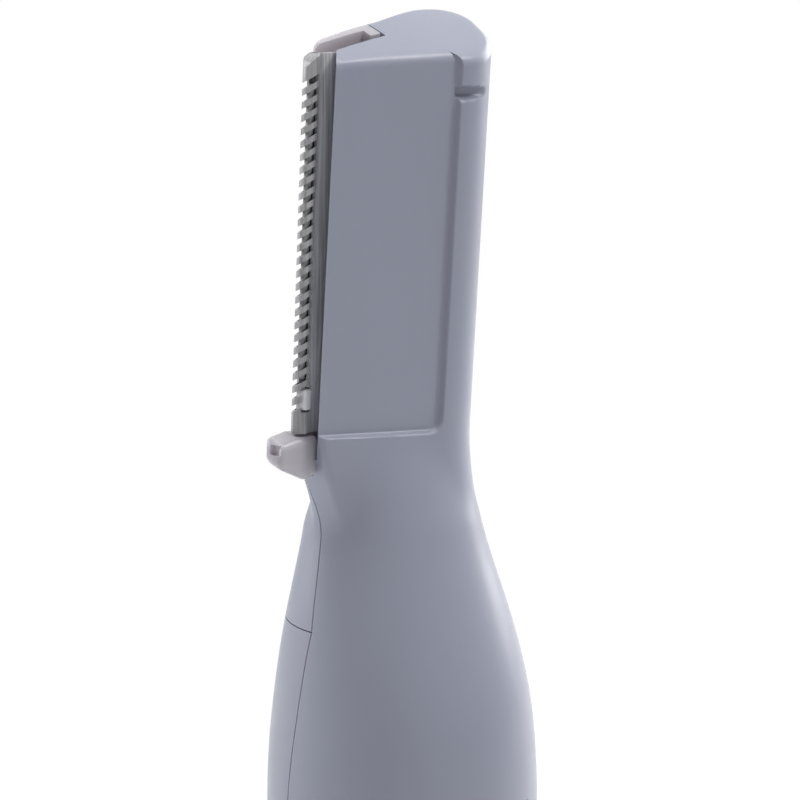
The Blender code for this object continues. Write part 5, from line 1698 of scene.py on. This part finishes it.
@dataclass
class PowerSlide:
    """Ribbed power slide in its well, in the off position."""

    form: OuterForm
    travel: float = 0.0030
    width: float = 0.0052
    height: float = 0.0085
    rise: float = 0.0009
    edge: float = 0.00045
    floor_gap: float = 0.0001
    ribs: int = 5
    rib: float = 0.00035
    rib_edge: float = 0.00012
    stem_inner: float = 0.0069
    stem_half: Flat = (0.0012, 0.0025)
    stem_overlap: float = 0.0004
    keeper_depths: Flat = (0.0066, 0.0073)
    keeper_half: Flat = (0.0022, 0.0045)
    keeper_edge: float = 0.0001

    def button(self) -> BMesh:
        """Rounded button with grip grooves, and its stem and keeper.

        Returns:
            The three in one shape.
        """
        rest = self.form.slide_height - self.travel / 2
        floor = self.form.grip_radius - self.form.well_depth
        top = self.form.grip_radius + self.rise
        half, reach, rib = self.width / 2, self.height / 2, self.rib
        place = self.form.frames.switch()
        button = round_block((floor + self.floor_gap, -half, rest - reach),
                             (top, half, rest + reach), self.edge, place, 5)
        grooves = []
        for index in range(self.ribs):
            height = rest + (index - (self.ribs - 1) / 2) * self.height / (self.ribs + 2)
            grooves.append(round_block((top - rib, -2 * half, height - rib),
                                       (top + rib * 3, 2 * half, height + rib),
                                       self.rib_edge, place, 3))
        wide, tall = self.stem_half
        stem = block((self.stem_inner, -wide, rest - tall),
                     (floor + self.stem_overlap, wide, rest + tall), place)
        (inner, outer), (wide, tall) = self.keeper_depths, self.keeper_half
        keeper = round_block((inner, -wide, rest - tall), (outer, wide, rest + tall),
                             self.keeper_edge, place, 2)
        return merged([carved(button, (merged(grooves), Cut.TAKE)), stem, keeper])

    def build(self) -> None:
        """Build and dress the slide."""
        dressed("switch_button_fine", self.button(), DARK_PLASTIC, "power_button",
                "switch_button")
        repaint("switch_bridge", CONTACT_BRASS)


@dataclass
class Drive:
    """Motor, cam, lever, rod, chassis, strips and screws, in the shapes of the CAD nodes."""

    finishes: dict[str, Finish] = field(default_factory=lambda: {
        "motor_can": DRAWN_STEEL,
        "motor_end_cap": PALE_PLASTIC,
        "motor_magnet_ring": MAGNET,
        "motor_shaft": GROUND_STEEL,
        "motor_armature": COPPER_WIRE_PAINTED_LIGHT,
        "eccentric_cam": PALE_PLASTIC,
        "drive_lever": PALE_PLASTIC,
        "drive_rod": PALE_PLASTIC,
        "lever_pin": GROUND_STEEL,
        "inner_chassis": CHASSIS_PLASTIC,
        "positive_contact": CONTACT_BRASS,
        "negative_strip": CONTACT_BRASS,
        "motor_strip": CONTACT_BRASS,
        "screw_left": ZINC_STEEL,
        "screw_right": ZINC_STEEL,
    })

    def build(self) -> None:
        """Dress the nodes."""
        for node, finish in self.finishes.items():
            repaint(node, finish)


# --------------------------------------------------------------------------------------
# Studio
# --------------------------------------------------------------------------------------


def aimed(name: str, data: bpy.types.ID, place: Triple, aim: Vector) -> bpy.types.Object:
    """Set up a camera or lamp that looks along a direction.

    Args:
        name: Name of the object.
        data: Its camera or lamp data.
        place: Where it stands.
        aim: Direction that it looks in.

    Returns:
        The object.
    """
    thing = bpy.data.objects.new(name, data)
    thing.location = place
    thing.rotation_euler = aim.to_track_quat("-Z", "Y").to_euler()
    bpy.context.scene.collection.objects.link(thing)
    return thing


@dataclass(frozen=True)
class Lamp:
    """A square lamp aimed at the object; its power is in watts."""

    name: str
    place: Triple
    size: float
    power: float
    target: Triple = (0.0, 0.0, 0.10)

    def build(self) -> None:
        """Hang the lamp."""
        data = bpy.data.lights.new(self.name, "AREA")
        data.shape = "SQUARE"
        data.size = self.size
        data.energy = self.power
        aimed(self.name, data, self.place, Vector(self.target) - Vector(self.place))


@dataclass
class Studio:
    """Pale floor, soft lamps, white surroundings and the camera."""

    place: Triple = (-0.1045, -0.1810, 0.157)
    azimuth: float = 30.0
    pitch: float = 11.84
    lens: float = 139.5
    shift: float = -0.0025
    sensor: float = 36.0
    nearest: float = 0.01
    fill: float = 0.31
    floor_half: float = 4.0
    floor_colour: Colour = (0.86, 0.86, 0.87)
    floor_roughness: float = 0.9
    glow_range: Flat = (0.86, 1.0)
    glow_reach: Flat = (0.1, 0.5)
    lamps: tuple[Lamp, ...] = (
        Lamp("left", (-0.44, 0.50, 0.30), 0.45, 2.5),
        Lamp("right", (0.61, 0.19, 0.28), 0.42, 2.9),
        Lamp("above", (0.02, 0.02, 0.75), 0.45, 3.0),
        Lamp("ledge", (0.34, -0.25, 0.66), 0.16, 1.9),
    )

    def camera(self) -> None:
        """Camera at the photograph's viewing angle."""
        data = bpy.data.cameras.new("camera")
        data.sensor_width = self.sensor
        data.lens = self.lens
        data.shift_x = self.shift
        data.clip_start = self.nearest
        turn, down = math.radians(self.azimuth), math.radians(self.pitch)
        aim = Vector((math.sin(turn) * math.cos(down), math.cos(turn) * math.cos(down),
                      -math.sin(down)))
        bpy.context.scene.camera = aimed("camera", data, self.place, aim)

    def surroundings(self) -> None:
        """White surroundings for the camera and for gloss, and a softer fill on the object."""
        world = bpy.data.worlds.new("studio")
        bpy.context.scene.world = world
        sheet = NodeSheet(world, "Background")
        rays = sheet.add("ShaderNodeLightPath").outputs
        seen = sheet.reckoned(Sum.LARGER, rays["Is Camera Ray"], rays["Is Glossy Ray"])
        seen = sheet.reckoned(Sum.LARGER, seen, rays["Is Transmission Ray"])
        sheet.done(Color=(*WHITE, 1.0), Strength=sheet.ranged(seen, self.fill, 1.0, WHOLE))

    def floor(self) -> None:
        """Pale floor that turns white for the camera and keeps a soft shadow."""
        shape = bmesh.new()
        bmesh.ops.create_grid(shape, x_segments=2, y_segments=2, size=self.floor_half)
        floor = holder("floor", shape)
        sheet = NodeSheet(bpy.data.materials.new("floor"))
        distance = sheet.add("ShaderNodeVectorMath", Vector=sheet.place)
        distance.operation = "LENGTH"
        fade = sheet.ranged(distance.outputs["Value"], *self.glow_range, self.glow_reach)
        rays = sheet.add("ShaderNodeLightPath").outputs
        mix = sheet.add("ShaderNodeMixShader")
        sheet.put(mix.inputs[0], sheet.reckoned(Sum.TIMES, rays["Is Camera Ray"], fade))
        sheet.put(mix.inputs[1], sheet.shader.outputs[0])
        sheet.put(mix.inputs[2], sheet.add("ShaderNodeEmission").outputs[0])
        sheet.put(sheet.tree.nodes["Material Output"].inputs["Surface"], mix.outputs[0])
        floor.data.materials.append(sheet.done(Base_Color=(*self.floor_colour, 1.0),
                                               Roughness=self.floor_roughness))

    def build(self) -> None:
        """Set up the studio."""
        self.camera()
        self.surroundings()
        self.floor()
        for lamp in self.lamps:
            lamp.build()
        bpy.context.scene.view_settings.view_transform = "Standard"


def main() -> None:
    """Build the studio and every sub-assembly, in order."""
    logging.basicConfig(level=logging.INFO, format="%(message)s")
    Studio().build()
    form = OuterForm()
    Shells(form).build()
    BladeUnit(form).build()
    BatteryCap(form).build()
    PowerSlide(form).build()
    Drive().build()


if __name__ == "__main__":
    main()
